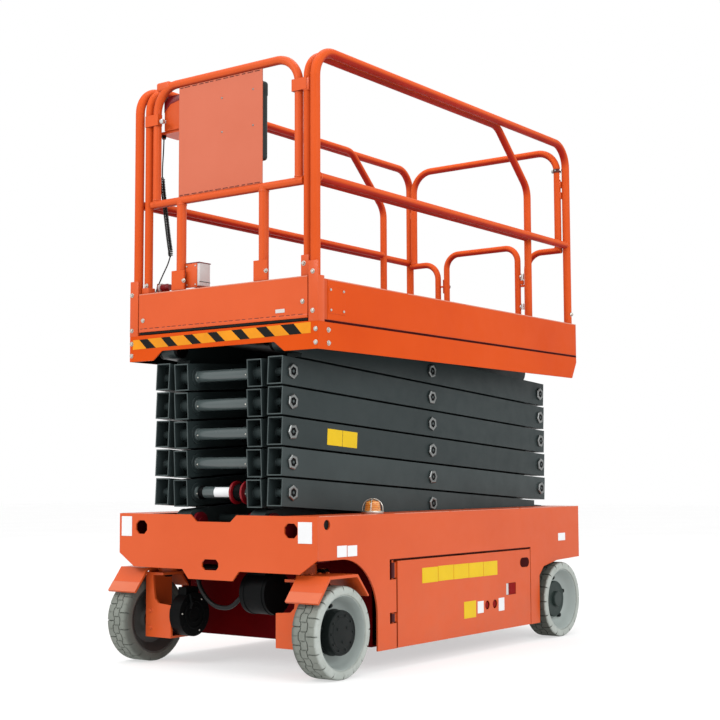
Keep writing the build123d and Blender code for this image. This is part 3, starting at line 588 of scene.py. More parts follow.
# ------------------------------------------------------------------ cords
CORD_DIA, COIL_DIA, HOSE_DIA = 0.006, 0.024, 0.020
TAIL_UPPER = [(1.005, -0.428, 2.392), (1.005, -0.430, 2.330), (1.005, -0.440, 2.216)]
COIL = [(1.005, -0.440, 2.216), (1.005, -0.418, 2.073), (1.005, -0.391, 1.908), (1.005, -0.374, 1.832)]
TAIL_LOWER = [(1.005, -0.374, 1.832), (1.010, -0.431, 1.744), (1.017, -0.474, 1.654), (1.018, -0.480, 1.572),
              (1.016, -0.476, 1.504)]
HOSE = [(1.030, 0.116, 0.318), (1.030, 0.078, 0.316), (1.030, 0.042, 0.280), (1.030, -0.002, 0.262),
        (1.032, -0.074, 0.268), (1.030, -0.134, 0.308), (1.024, -0.182, 0.372), (1.024, -0.182, 0.446)]


def nurbs(name, pts, radius=0.0, res=12, ring=4):
    cu = bpy.data.curves.new(name, "CURVE")
    cu.dimensions = "3D"
    cu.resolution_u = res
    sp = cu.splines.new("NURBS")
    sp.points.add(len(pts) - 1)
    for q, p in zip(sp.points, pts):
        q.co = (*p, 1.0)
    sp.order_u = 3
    sp.use_endpoint_u = True
    if radius:
        cu.bevel_depth = radius
        cu.bevel_resolution = ring
        cu.use_fill_caps = True
    o = bpy.data.objects.new(name, cu)
    scene.collection.objects.link(o)
    return o


def centreline(pts):
    """Points of the route's own smooth line."""
    o = nurbs("route", pts, 0.0, 24)
    bpy.context.view_layer.update()
    me = bpy.data.meshes.new_from_object(o.evaluated_get(bpy.context.evaluated_depsgraph_get()))
    out = [v.co.copy() for v in me.vertices]
    bpy.data.meshes.remove(me)
    bpy.data.objects.remove(o)
    return out


TURNS, PER = 50, 12
route = centreline(TAIL_UPPER + COIL[1:] + TAIL_LOWER[1:])
dist = [0.0]
for a, b2 in zip(route, route[1:]):
    dist.append(dist[-1] + (b2 - a).length)


def along(s):
    s = max(0.0, min(dist[-1], s))
    k = max(0, min(len(route) - 2, next((i for i in range(len(dist) - 1) if dist[i + 1] >= s), len(route) - 2)))
    t = (s - dist[k]) / max(1e-9, dist[k + 1] - dist[k])
    return route[k].lerp(route[k + 1], t), (route[k + 1] - route[k]).normalized()


def nearest(p):
    return min(range(len(route)), key=lambda i: (route[i] - Vector(p)).length)


s0, s1 = dist[nearest(COIL[0])], dist[nearest(COIL[-1])]
rad = COIL_DIA / 2 - CORD_DIA / 2
cord_pts = []
LEAD = 0.030
for k in range(7):
    cord_pts.append(along((s0 - LEAD) * k / 6)[0])
ref = Vector((1, 0, 0))
n_turn = TURNS * PER
for k in range(n_turn + 1):
    t = k / n_turn
    p, d = along(s0 + (s1 - s0) * t)
    x = (ref - d * ref.dot(d)).normalized()
    y = d.cross(x)
    w = min(1.0, k / 16.0, (n_turn - k) / 16.0)
    grow = w * w * (3.0 - 2.0 * w)
    a = 2 * pi * k / PER
    if k == 0 or k == n_turn:
        continue
    cord_pts.append(p + (x * math.cos(a) + y * math.sin(a)) * rad * grow)
for k in range(0, 11):
    cord_pts.append(along(s1 + LEAD + (dist[-1] - s1 - LEAD) * k / 10)[0])
cord_pts[-1] = Vector(TAIL_LOWER[-1])
cord = nurbs("control_cord", [tuple(p) for p in cord_pts], CORD_DIA / 2, 3, 3)
cord.data.materials.append(RUBBER)
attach(cord, "extension")
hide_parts("cable_tail_upper", "cable_coil", "cable_tail_lower")

hose = nurbs("underbody_hose_line", HOSE, HOSE_DIA / 2, 16, 5)
hose.data.materials.append(RUBBER)
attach(hose, "chassis")
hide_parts("underbody_hose")

# ------------------------------------------------------------------ shared sizes (metres)
HALF = 1.063915                      # pin to pin of an arm, halved
REST = math.radians(3.438)           # arm slope in the folded stack
TIER, PIN_Z0 = 0.1276, 0.633
OUT0, OUT1, IN0, IN1 = 0.286, 0.366, 0.172, 0.253
TIERS = 6
ARM_Z = 0.059


def place(P, matrix):
    bmesh.ops.transform(P.bm, matrix=matrix, verts=list(P.bm.verts))


def band_x(P, x0, x1, y0, y1, z0, z1, wall, mat):
    """Hollow rectangular band from x0 to x1 at the cut end of a tube; in the lighter grey it is a painted highlight on
    the tube wall ends.
    """
    rects = []
    for x, k in ((x0, 0.0), (x1, 0.0), (x1, wall), (x0, wall)):
        rects.append([P.bm.verts.new((x, y, z)) for y, z in
                      ((y0 + k, z0 + k), (y1 - k, z0 + k), (y1 - k, z1 - k), (y0 + k, z1 - k))])
    faces = []
    for k in range(4):
        a, b = rects[k], rects[(k + 1) % 4]
        faces += [P.bm.faces.new([a[j], a[(j + 1) % 4], b[(j + 1) % 4], b[j]]) for j in range(4)]
    bmesh.ops.recalc_face_normals(P.bm, faces=faces)
    P._mark(faces, mat, False)


def ring(P, p, axis, r, w=0.006, up=0.0022, mat=None, seg=24):
    """Weld bead round a tube of radius r at p."""
    P.lathe([(r - 0.002, -w / 2), (r + up * 0.6, -w / 2), (r + up, -w / 6), (r + up, w / 6), (r + up * 0.6, w / 2),
             (r - 0.002, w / 2)], p, axis, mat, seg, closed=True)


def side_plate(P, x0, x1, z0, z1, y, mat, t=0.0012, bevel=0.0006):
    """Thin plate on a face that looks along +Y or -Y."""
    s = 1 if y > 0 else -1
    P.box((min(x0, x1), max(x0, x1)), tuple(sorted((y - s * 0.0006, y + s * t))), (z0, z1), mat, bevel, 1)


def wrap(P, x, z, y0, y1, r0, r1, a0, a1, mat, n=10):
    """Thin curved plate on the front of a tube that lies along Y."""
    rows = []
    for k in range(n + 1):
        a = a0 + (a1 - a0) * k / n
        rows.append([P.bm.verts.new((x + r * math.cos(a), y, z + r * math.sin(a))) for r, y in
                     ((r0, y0), (r1, y0), (r1, y1), (r0, y1))])
    faces = [P.bm.faces.new(rows[0][::-1]), P.bm.faces.new(rows[-1])]
    for u, v in zip(rows, rows[1:]):
        faces += [P.bm.faces.new([u[j], u[(j + 1) % 4], v[(j + 1) % 4], v[j]]) for j in range(4)]
    bmesh.ops.recalc_face_normals(P.bm, faces=faces)
    P._mark(faces, mat, False)


def front_label(P, y0, y1, z0, z1, x, mat, t=0.0012, bevel=0.0006):
    P.box((x - 0.0006, x + t), (y0, y1), (z0, z1), mat, bevel, 1)


# ------------------------------------------------------------------ wheels
def turn(x, y, yaw):
    return Matrix.Translation((x, y, 0.1905)) @ Matrix.Rotation(math.radians(yaw), 4, "Z")


WHEELS = (("front_left", turn(0.984, 0.5315, 0.0), True), ("front_right", turn(0.984, -0.5315, 180.0), True),
          ("rear_left", turn(-0.898, 0.5315, 0.0), False), ("rear_right", turn(-0.898, -0.5315, 180.0), False))
PITCHES = 16
# half section of the tyre from the bead to the middle: offset from the middle plane, radius
SHOULDER = ((-0.0585, 0.1520), (-0.0625, 0.1560), (-0.0635, 0.1650), (-0.0635, 0.1760), (-0.0605, 0.1845),
            (-0.0540, 0.1893), (-0.0460, 0.1905), (-0.0320, 0.1905))
DEEP = 0.0062


def jog(f):
    return 0.0045 * max(-1.0, min(1.0, 2.6 * math.cos(2 * pi * f)))


def tyre_ring(f):
    """Points (offset, radius) across the tread at fraction f of one pitch."""
    def cut(f, at, half=0.032):
        d = abs((f - at + 0.5) % 1.0 - 0.5)
        return 1.0 if d < half else 0.0

    def flank(sign, f):
        lat = cut(f, 0.5)
        out = []
        for k, (y, r) in enumerate(SHOULDER):
            if lat and k >= 4:
                r -= DEEP
            if lat and k in (3, 4):
                y += 0.0018
            if cut(f, 0.0) and k in (6, 7):
                r -= 0.0022
            out.append((y, r))
        g = -0.0175 + sign * jog(f)
        out += [(g - 0.0028, 0.1905 - (DEEP if lat else 0.0)), (g - 0.0018, 0.1905 - DEEP), (g + 0.0018, 0.1905 - DEEP),
                (g + 0.0028, 0.1905), (-0.0060, 0.1905)]
        return [(sign * y * -1.0 if sign > 0 else y, r) for y, r in out]

    left = flank(-1, f)
    g = -0.0175 - jog(f)
    right_f = (f + 0.5) % 1.0
    right = []
    lat = cut(right_f, 0.5)
    for k, (y, r) in enumerate(SHOULDER):
        if lat and k >= 4:
            r -= DEEP
        if lat and k in (3, 4):
            y += 0.0018
        if cut(right_f, 0.0) and k in (6, 7):
            r -= 0.0022
        right.append((-y, r))
    h = 0.0175 - jog(f)
    right += [(h + 0.0028, 0.1905 - (DEEP if lat else 0.0)), (h + 0.0018, 0.1905 - DEEP), (h - 0.0018, 0.1905 - DEEP),
              (h - 0.0028, 0.1905), (0.0060, 0.1905)]
    mid = cut(f, 0.25) or cut(f, 0.75)
    pts = left + right[::-1]
    if mid:
        pts = [(y, r - 0.0045) if abs(y) < 0.0125 and r > 0.19 else (y, r) for y, r in pts]
    return pts


FRACTIONS = sorted(q + d for q in (0.0, 0.25, 0.5, 0.75) for d in (-0.040, -0.024, 0.024, 0.040, 0.125))


def tyre(tag, matrix):
    P = Part("tread_tyre_" + tag, "wheel_" + tag, TYRE)
    rows = []
    for p in range(PITCHES):
        for f in FRACTIONS:
            t = 2 * pi * (p + f) / PITCHES
            rows.append([P.bm.verts.new((r * math.sin(t), y, r * math.cos(t))) for y, r in tyre_ring(f % 1.0)])
    faces = []
    n = len(rows)
    for a in range(n):
        ra, rb = rows[a], rows[(a + 1) % n]
        m_ = len(ra)
        faces += [P.bm.faces.new([ra[j], rb[j], rb[(j + 1) % m_], ra[(j + 1) % m_]]) for j in range(m_)]
    bmesh.ops.recalc_face_normals(P.bm, faces=faces)
    P._mark(faces, TYRE, True)
    place(P, matrix)
    o = P.done(38.0)
    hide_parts("tyre_" + tag)


RIM_SEC = [(0.1535, 0.0575), (0.1500, 0.0585), (0.1470, 0.0520), (0.1400, 0.0250), (0.1300, 0.0040), (0.1120, -0.0080),
           (0.0960, -0.0100), (0.0900, -0.0100), (0.0520, -0.0100), (0.0520, -0.0430), (0.0600, -0.0440),
           (0.0700, -0.0300), (0.0900, -0.0240), (0.1100, -0.0260), (0.1300, -0.0420), (0.1480, -0.0590),
           (0.1535, -0.0580)]
HUB_SEC = [(0, -0.0105), (0.0915, -0.0105), (0.0925, 0.0300), (0.0925, 0.0490), (0.0900, 0.0555), (0.0835, 0.0575),
           (0.0815, 0.0550), (0.0640, 0.0550), (0.0625, 0.0568), (0.0300, 0.0580), (0, 0.0580)]
CAP_SEC = [(0, -0.0105), (0.0920, -0.0105), (0.0920, 0.0140), (0.0895, 0.0180), (0.0830, 0.0195), (0.0400, 0.0200),
           (0.0380, 0.0330), (0.0350, 0.0364), (0, 0.0368)]


def rim(tag, matrix, driven):
    P = Part("wheel_rim_" + tag, "wheel_" + tag, RIMGREY, HUB, ZINC, HUBGREY)
    P.lathe(RIM_SEC, (0, 0, 0), (0, 1, 0), RIMGREY, 72, closed=True)
    if driven:
        for k in range(5):
            a = 2 * pi * k / 5 + 0.3
            P.bolt((0.1075 * math.cos(a), -0.0085, 0.1075 * math.sin(a)), (0, 1, 0), 0.0085, 0.010, HUB, True, 0.2)
        P.lathe(HUB_SEC, (0, 0, 0), (0, 1, 0), HUB, 56)
        for k in range(10):
            a = 2 * pi * k / 10
            P.bolt((0.0725 * math.cos(a), 0.0546, 0.0725 * math.sin(a)), (0, 1, 0), 0.0052, 0.0045, HUB, False, 0.5)
        for k in range(3):
            a = 2 * pi * k / 3 + 0.5
            P.bolt((0.036 * math.cos(a), 0.0572, 0.036 * math.sin(a)), (0, 1, 0), 0.0068, 0.0035, HUB, False)
        P.lathe([(0.0915, 0.0), (0.0955, 0.0), (0.0955, 0.006), (0.0915, 0.006)], (0, 0.006, 0), (0, 1, 0), HUB, 56,
                closed=True)
        # two sight plugs that stand out past the rim of the hub
        for a in (1.35, -1.55):
            P.box((-0.008, 0.008), (0.004, 0.020), (0.086, 0.104), HUB, 0.002, 2, Matrix.Rotation(a, 4, "Y"))
    else:
        P.lathe(CAP_SEC, (0, 0, 0), (0, 1, 0), HUBGREY, 56)
        for k in range(5):
            a = pi / 2 + 2 * pi * k / 5
            P.lathe([(0, 0), (0.0110, 0), (0.0110, 0.017), (0.0085, 0.021), (0, 0.021)],
                    (-0.1085 * math.cos(a), -0.0090, 0.1085 * math.sin(a)), (0, 1, 0), HUB, 14, False)
    place(P, matrix)
    o = P.done(32.0)
    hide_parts("rim_" + tag)


for tag, matrix, driven in WHEELS:
    tyre(tag, matrix)
    rim(tag, matrix, driven)


# ------------------------------------------------------------------ scissor stack
def arm_frame(i, outer):
    return (Matrix.Translation((-0.024, 0.0, PIN_Z0 + (i - 0.5) * TIER))
            @ Matrix.Rotation(-REST if outer else REST, 4, "Y"))


PIN_NUT = [(0.0195, 0.0010), (0.0195, 0.0098), (0.0225, 0.0112), (0.0290, 0.0112), (0.0335, 0.0086), (0.0335, 0.0010)]
for i in range(1, TIERS + 1):
    P = Part("outer_arm_%d_fittings" % i, "outer_arm_%d" % i, DULLZINC, GREY_AND_HIGHLIGHT, BLACK, YELLOW, BAR)
    for s in (-1, 1):
        for x in [0.0] + ([HALF] if i < TIERS else []) + ([-HALF] if i > 1 else []):
            base = (x, s * OUT1, 0.0)
            P.lathe(PIN_NUT, base, (0, s, 0), DULLZINC, 6, False, 0.26 + 0.31 * i + 0.7 * x, closed=True)
            P.lathe([(0, 0.001), (0.0188, 0.001), (0.0188, 0.0070), (0.0170, 0.0084), (0, 0.0090)], base, (0, s, 0),
                    BLACK, 20)
            P.lathe([(0, 0.005), (0.0070, 0.005), (0.0070, 0.0096), (0.0055, 0.0104), (0, 0.0104)], base, (0, s, 0),
                    GREY_AND_HIGHLIGHT, 6, False)
        y0, y1 = sorted((s * OUT0, s * OUT1))
        # lighter bands at the tube ends: painted highlight
        if i < TIERS:
            band_x(P, HALF + 0.0625, HALF + 0.0646, y0 - 0.0004, y1 + 0.0004, -ARM_Z - 0.0003, ARM_Z + 0.0003, 0.0042,
                   GREY_AND_HIGHLIGHT)
        if i > 1:
            band_x(P, -HALF - 0.0496, -HALF - 0.0475, y0 - 0.0004, y1 + 0.0004, -ARM_Z - 0.0003, ARM_Z + 0.0003, 0.0042,
                   GREY_AND_HIGHLIGHT)
    if i == 3:
        for k in range(2):
            x0 = 0.604 + k * 0.110
            P.box((x0, x0 + 0.1075), (OUT1 - 0.0004, OUT1 + 0.0010), (-0.0365, 0.0345), YELLOW, 0.0006, 1)
    place(P, arm_frame(i, True))
    P.done(30.0)

    P = Part("inner_arm_%d_fittings" % i, "inner_arm_%d" % i, BAR, GREY_AND_HIGHLIGHT, ZINC, BLACK, WHITE, REDPAINT, CHARCOAL)
    for s in (-1, 1):
        y0, y1 = sorted((s * IN0, s * IN1))
        # lighter bands at the tube ends: painted highlight
        if i > 1:
            band_x(P, HALF + 0.0625, HALF + 0.0646, y0 - 0.0004, y1 + 0.0004, -ARM_Z - 0.0003, ARM_Z + 0.0003, 0.0042,
                   GREY_AND_HIGHLIGHT)
        if i < TIERS:
            band_x(P, -HALF - 0.0496, -HALF - 0.0475, y0 - 0.0004, y1 + 0.0004, -ARM_Z - 0.0003, ARM_Z + 0.0003, 0.0042,
                   GREY_AND_HIGHLIGHT)
    for x in [-HALF] + ([HALF] if i > 1 else []):
        half = [(0.0215, 0.1700), (0.0265, 0.1690), (0.0272, 0.1660), (0.0272, 0.1610), (0.0258, 0.1590)]
        prof = [(0, -0.1700)] + [(r, -h) for r, h in half] + [(r, h) for r, h in half[::-1]] + [(0, 0.1700)]
        P.lathe(prof, (x, 0, 0), (0, 1, 0), BAR, 36)
        out = 1 if x > 0 else -1
        for y in (-0.1500, 0.1300):
            P.dome((x + out * 0.0252, y, -0.004 * out), (out, 0, 0.0), 0.0042, 0.0040, ZINC, 12)
        # mounting plates welded beside the tube ends
        for s in (-1, 1):
            P.lathe([(0.0250, 0), (0.0420, 0), (0.0420, 0.006), (0.0250, 0.006)], (x, s * 0.1655, 0), (0, s, 0), CHARCOAL,
                    30, False, closed=True)
    if i == 2:
        x = HALF
        P.lathe([(0.0250, -0.120), (0.0275, -0.120), (0.0290, -0.123), (0.0290, -0.146), (0.0250, -0.146)], (x, 0, 0),
                (0, 1, 0), BLACK, 28, closed=True)
        wrap(P, x, 0.0, -0.052, 0.042, 0.0258, 0.0268, -0.75, 1.05, WHITE)
        for y in (0.060, 0.122):
            P.lathe([(0.0250, -0.0055), (0.0480, -0.0055), (0.0500, -0.0040), (0.0500, 0.0040), (0.0480, 0.0055),
                     (0.0250, 0.0055)], (x, y, 0), (0, 1, 0), REDPAINT, 40, closed=True)
        P.lathe([(0.0250, 0.0200), (0.0370, 0.0200)] + [(0.0370 + 0.0022 * (k % 2), 0.0240 + 0.0042 * k) for k in range(10)]
                + [(0.0370, 0.0680), (0.0250, 0.0680)], (x, 0.048, 0), (0, 1, 0), BLACK, 32, closed=True)
    place(P, arm_frame(i, False))
    P.done(30.0)

ARM_L = 2 * HALF
FOOT_AT, ROD_AT = 0.160, 0.97
for tag, tier in (("lower", 3), ("upper", 5)):
    dx = -(ROD_AT * ARM_L - FOOT_AT) * math.cos(REST)
    dz = ((1 + ROD_AT) * ARM_L - FOOT_AT) * math.sin(REST)
    reach, ang = math.hypot(dx, dz), math.atan2(dz, -dx)
    frame_m = Matrix.Translation((1.038 - FOOT_AT * math.cos(REST), 0.0,
                                  PIN_Z0 + (tier - 2) * TIER + FOOT_AT * math.sin(REST))) @ Matrix.Rotation(ang, 4, "Y")
    P = Part("lift_barrel_%s_fittings" % tag, "lift_barrel_" + tag, BLACK, ZINC, BAR)
    for x, r, w in ((-reach + 0.081, 0.0515, 0.030), (-0.075, 0.0505, 0.022), (-0.62, 0.0490, 0.010)):
        P.lathe([(0.0335 if w > 0.02 else 0.0460, 0), (r - 0.002, 0), (r, 0.002), (r, w - 0.002), (r - 0.002, w),
                 (0.0335 if w > 0.02 else 0.0460, w)], (x, 0, 0), (1, 0, 0), BAR, 36, closed=True)
    for x in (-reach + 0.135, -0.130):
        P.box((x - 0.014, x + 0.014), (0.036, 0.056), (-0.014, 0.014), BLACK, 0.002, 2)
        P.bolt((x, 0.056, 0.0), (0, 1, 0), 0.0085, 0.010, ZINC, False)
    place(P, frame_m)
    P.done(30.0)

# ------------------------------------------------------------------ platform
P = Part("platform_fittings", "platform", ORANGE, ZINC, AMBERTAPE, BLACKTAPE, BROWN, STEEL, BLACK, LIP_HIGHLIGHT, TOE, SEAM, DULLZINC)
# hazard band under the front edge
Y0, Y1 = -0.529, 0.510


def band_z(y, top):
    k = (y - Y0) / (Y1 - Y0)
    return (1.4520 + 0.0130 * k) if top else (1.4080 + 0.0110 * k)


P.prism([(Y0, band_z(Y0, 0)), (Y1, band_z(Y1, 0)), (Y1, band_z(Y1, 1)), (Y0, band_z(Y0, 1))], "x", 1.0914, 1.0927,
        AMBERTAPE)
for tl, tr, br, bl in ((-0.484, -0.438, -0.385, -0.438), (-0.347, -0.300, -0.250, -0.300),
                       (-0.208, -0.161, -0.105, -0.154), (-0.065, -0.017, 0.033, -0.014), (0.076, 0.127, 0.175, 0.127),
                       (0.214, 0.266, 0.315, 0.266), (0.351, 0.416, 0.459, 0.400)):
    P.prism([(bl - 0.003, band_z(bl, 0) + 0.0004), (br + 0.003, band_z(br, 0) + 0.0004),
             (tr + 0.003, band_z(tr, 1) - 0.0004), (tl - 0.003, band_z(tl, 1) - 0.0004)], "x", 1.0925, 1.0932, BLACKTAPE)
for s in (-1, 1):
    # corner plates between the toe boards and the front posts
    P.box((1.0860, 1.0928), tuple(sorted((s * 0.4975, s * 0.5480))), (1.468, 1.722), ORANGE, 0.0015, 2)
    P.box((1.0500, 1.0925), tuple(sorted((s * 0.5465, s * 0.5495))), (1.468, 1.660), ORANGE, 0.0012, 2)
for y, z in ((0.521, 1.676), (0.520, 1.512), (-0.540, 1.659), (-0.540, 1.496), (0.547, 1.435), (0.543, 1.380),
             (-0.540, 1.435), (-0.540, 1.380)):
    y = max(-0.536, min(0.536, y))
    P.bolt((1.0926, y, z), (1, 0, 0), 0.0078, 0.006, ZINC)
# toe board overlay, its lower shadow line and the four-bolt bracket at each side
for s in (-1, 1):
    side_plate(P, -1.170, 1.030, 1.4790, 1.6475, s * 0.548, TOE, 0.0016, 0.0008)
    side_plate(P, -1.178, 1.048, 1.4670, 1.4770, s * 0.548, SEAM, 0.0005, 0.0)
    side_plate(P, 0.907, 1.026, 1.505, 1.6165, s * 0.5494, TOE, 0.0024, 0.0012)
    for x, z in ((1.012, 1.604), (1.010, 1.519), (0.922, 1.604), (0.922, 1.519)):
        P.bolt((x, s * 0.5516, z), (0, s, 0), 0.0060, 0.0045, ZINC, False)
    for x, z in ((1.022, 1.435), (1.021, 1.380)):
        P.bolt((x, s * 0.548, z), (0, s, 0), 0.0085, 0.006, ZINC)
    # pale strip painted as the highlight on the folded upper hem of the toe board
    for x0, x1 in ((-1.176, -0.62), (-0.60, -0.05), (-0.03, 0.44), (0.46, 1.028)):
        side_plate(P, x0, x1, 1.6440, 1.6485, s * 0.5492, LIP_HIGHLIGHT, 0.0010, 0.0005)
    # socket plates at the feet of the fold-down side posts
    for x in (-1.148,):
        P.box((x - 0.034, x + 0.034), tuple(sorted((s * 0.4962, s * 0.5405))), (1.4690, 1.4760), ORANGE, 0.0012, 2)
    # weld beads of the side rails
    ring(P, (1.0490, s * 0.518, 2.080), (1, 0, 0), 0.0195, mat=ORANGE)
    ring(P, (-1.1270, s * 0.518, 2.080), (1, 0, 0), 0.0195, mat=ORANGE)
    ring(P, (1.0700, s * 0.518, 1.4745), (0, 0, 1), 0.0210, mat=ORANGE)
    ring(P, (-1.1480, s * 0.518, 1.4785), (0, 0, 1), 0.0210, mat=ORANGE)
    ring(P, (-1.1300, s * 0.476, 2.0745), (0, 0, 1), 0.0190, mat=ORANGE)
    # gusset clips that tie the rear hoop to the side rail
    for z in (2.36, 2.60 - 0.18):
        P.box((-1.1560, -1.1220), tuple(sorted((s * 0.4900, s * 0.5000))), (z - 0.018, z + 0.018), ORANGE, 0.0015, 2)
    # hinge bolts in the rail ends
    for z in (1.56, 1.70):
        P.bolt((-1.148, s * 0.5390, z), (0, s, 0), 0.0090, 0.008, ZINC)
# clamp and latch pin of the rear hoop
P.lathe([(0.0172, 0), (0.0225, 0.001), (0.0225, 0.021), (0.0172, 0.022)], (-1.130, 0.476, 2.486), (0, 0, 1), BROWN, 28,
        closed=True)
for x in (-1.1530, -1.1070):
    P.dome((x, 0.476, 2.497), (1 if x > -1.13 else -1, 0, 0), 0.0062, 0.0050, DULLZINC, 12)
P.box((-1.1360, -1.1240), (0.4440, 0.4600), (2.489, 2.505), DULLZINC, 0.0015, 2)
P.lathe([(0, 0), (0.0045, 0), (0.0045, 0.050), (0.0090, 0.051), (0.0090, 0.060), (0, 0.060)], (-1.130, 0.494, 2.446),
        (0, 0, 1), STEEL, 14)
# raised lozenges of the rear tread panel
def lozenges(P, x0, x1, y0, y1, z, mat, step=0.030):
    nx, ny = int((x1 - x0) / step), int((y1 - y0) / step)
    for a in range(nx):
        for b in range(ny):
            cx, cy = x0 + (a + 0.5) * (x1 - x0) / nx, y0 + (b + 0.5) * (y1 - y0) / ny
            k = 1 if (a + b) % 2 else -1
            ux, uy = 0.7071, 0.7071 * k
            vs = []
            for h, l, w in ((-0.0002, 0.0125, 0.0035), (0.0011, 0.0085, 0.0016)):
                vs.append([P.bm.verts.new((cx + ux * p - uy * q, cy + uy * p + ux * q, z + h))
                           for p, q in ((-l, 0), (0, -w), (l, 0), (0, w))])
            fs = [P.bm.faces.new([vs[0][j], vs[0][(j + 1) % 4], vs[1][(j + 1) % 4], vs[1][j]]) for j in range(4)]
            fs += [P.bm.faces.new(vs[1]), P.bm.faces.new(vs[0][::-1])]
            P._mark(fs, mat, False)


lozenges(P, -1.098, -0.856, -0.432, 0.432, 1.4715, ORANGE)
P.done(30.0)

# ------------------------------------------------------------------ sliding extension
P = Part("extension_fittings", "extension", ORANGE, ZINC, BLACK, BROWN, WHITE, CHROME, LIP_HIGHLIGHT, DARK_RED_AND_SHADE, PALEGREY, SHADE_BLACK,
         DULLZINC, STEEL)
# near-black strip below the front toe board: painted shade in the gap
P.box((1.0838, 1.0890), (-0.4900, 0.4900), (1.4738, 1.4846), SHADE_BLACK, 0.0008, 1)
P.box((1.0838, 1.0928), (-0.4910, 0.4910), (1.4848, 1.5002), ORANGE, 0.0012, 2)
y = -0.484
k = 0
while y < 0.450:
    w = 0.017 + 0.011 * ((k * 37) % 7) / 7.0
    P.box((1.0915, 1.0932), (y, y + w), (1.4988, 1.5018), BROWN, 0.0006, 1)
    y += w + 0.008 + 0.012 * ((k * 53) % 5) / 5.0
    k += 1
front_label(P, 0.320, 0.370, 1.514, 1.530, 1.0920, PALEGREY)
# pale strip on the top edge of the front toe board: painted highlight
P.box((1.0840, 1.0926), (-0.4918, 0.4918), (1.6560, 1.6606), LIP_HIGHLIGHT, 0.0008, 1)
for y, z in ((0.466, 1.554), (-0.466, 1.538)):
    P.bolt((1.0921, y, z), (1, 0, 0), 0.0080, 0.006, ZINC)
# sleeves at the feet of the two corner posts
for s in (-1, 1):
    y0, y1 = sorted((s * 0.4460, s * 0.4890))
    if s > 0:
        P.box((1.0340, 1.0790), (y0, y1), (1.655, 1.752), ORANGE, 0.003, 3)
    else:
        P.box((1.0340, 1.0790), (y0, y1), (1.655, 1.690), ORANGE, 0.003, 3)
    P.bolt((1.0788 if s > 0 else 1.0745, s * 0.462, 1.716 if s > 0 else 1.700), (1, 0, 0), 0.0080, 0.007, ZINC)
    ring(P, (1.056, s * 0.468, 1.4870), (0, 0, 1), 0.0190, mat=ORANGE)
    ring(P, (-0.807, s * 0.468, 1.4870), (0, 0, 1), 0.0190, mat=ORANGE)
    ring(P, (-0.7880, s * 0.468, 2.080), (1, 0, 0), 0.0175, mat=ORANGE)
    ring(P, (1.0370, s * 0.468, 2.080), (1, 0, 0), 0.0175, mat=ORANGE)
    ring(P, (1.056, s * 0.419, 2.0930), (0, 0, 1), 0.0190, mat=ORANGE)
# feet of the middle posts and their bolts
for y, b in ((-0.262, -0.212), (0.224, 0.269)):
    ring(P, (1.056, y, 1.4880), (0, 0, 1), 0.0220, mat=ORANGE)
    ring(P, (1.056, y, 2.0540), (0, 0, 1), 0.0220, mat=ORANGE)
    P.bolt((1.0800, b - 0.012, 1.703), (1, 0, 0), 0.0075, 0.007, ZINC)
# panel fixings and the stitch welds along its upper and lower edges
for y, z in ((-0.016, 2.504), (0.166, 2.513), (-0.015, 2.350), (0.166, 2.353)):
    P.dome((1.0620, y, z), (1, 0, 0), 0.0048, 0.0026, DULLZINC, 14)
for z0, up in ((2.5905, 0.004), (2.0960, 0.0)):
    y, k = -0.270, 0
    while y < 0.200:
        w = 0.020 + 0.016 * ((k * 29) % 5) / 5.0
        P.box((1.0612, 1.0632), (y, min(0.214, y + w)), (z0 - 0.0018, z0 + 0.0018), BROWN, 0.0006, 1)
        y += w + 0.007 + 0.010 * ((k * 31) % 4) / 4.0
        k += 1
# tab and catch at the upper corner of the front hoop
P.box((1.0370, 1.0760), (-0.4120, -0.3300), (2.5965, 2.6365), ORANGE, 0.010, 4)
P.lathe([(0, 0), (0.0070, 0), (0.0070, 0.012), (0.0120, 0.015), (0.0120, 0.024), (0.0080, 0.028), (0, 0.0285)],
        (1.0560, -0.372, 2.452), (1, 0, 0), STEEL, 24)
P.box((1.0530, 1.0600), (-0.4020, -0.3640), (2.4460, 2.4580), STEEL, 0.001, 2)
P.box((1.0360, 1.0775), (0.4560, 0.4900), (2.4520, 2.5080), ORANGE, 0.004, 3)
# plug-in connector beside the socket box
P.lathe([(0, 0), (0.0180, 0), (0.0180, 0.056), (0.0140, 0.062), (0.0140, 0.070), (0, 0.070)], (1.000, -0.455, 1.695),
        (0, 1, 0), DARK_RED_AND_SHADE, 26)
P.lathe([(0.0170, 0), (0.0215, 0.001), (0.0215, 0.012), (0.0170, 0.013)], (1.000, -0.446, 1.695), (0, 1, 0), PALEGREY,
        26, closed=True)
P.box((0.985, 1.015), (-0.4560, -0.4500), (1.484, 1.715), ORANGE, 0.001, 1)
lozenges(P, -0.794, 0.944, -0.426, 0.426, 1.4855, ORANGE)
P.done(30.0)

# socket box: pale shell, orange cover with a dark red lip
P = Part("socket_box_shell", "extension", PALEGREY, ORANGE, DARK_RED_AND_SHADE, ZINC, BLACK)
P.box((0.9825, 1.0545), (-0.2215, -0.1525), (1.6765, 1.7820), PALEGREY, 0.005, 3)
P.box((1.0540, 1.0580), (-0.2340, -0.1650), (1.6710, 1.7810), ORANGE, 0.0018, 2)
P.box((0.9800, 1.0590), (-0.2335, -0.1510), (1.7800, 1.7845), DARK_RED_AND_SHADE, 0.0015, 2)
P.box((0.9840, 1.0530), (-0.1540, -0.1512), (1.6950, 1.6975), BLACK, 0.0004, 1)
for z in (1.684, 1.768):
    for y in (-0.226, -0.173):
        P.bolt((1.0580, y, z), (1, 0, 0), 0.0042, 0.003, ZINC, False)
P.box((0.986, 1.000), (-0.2100, -0.1650), (1.4845, 1.6780), ORANGE, 0.002, 2)
o = P.done(30.0)
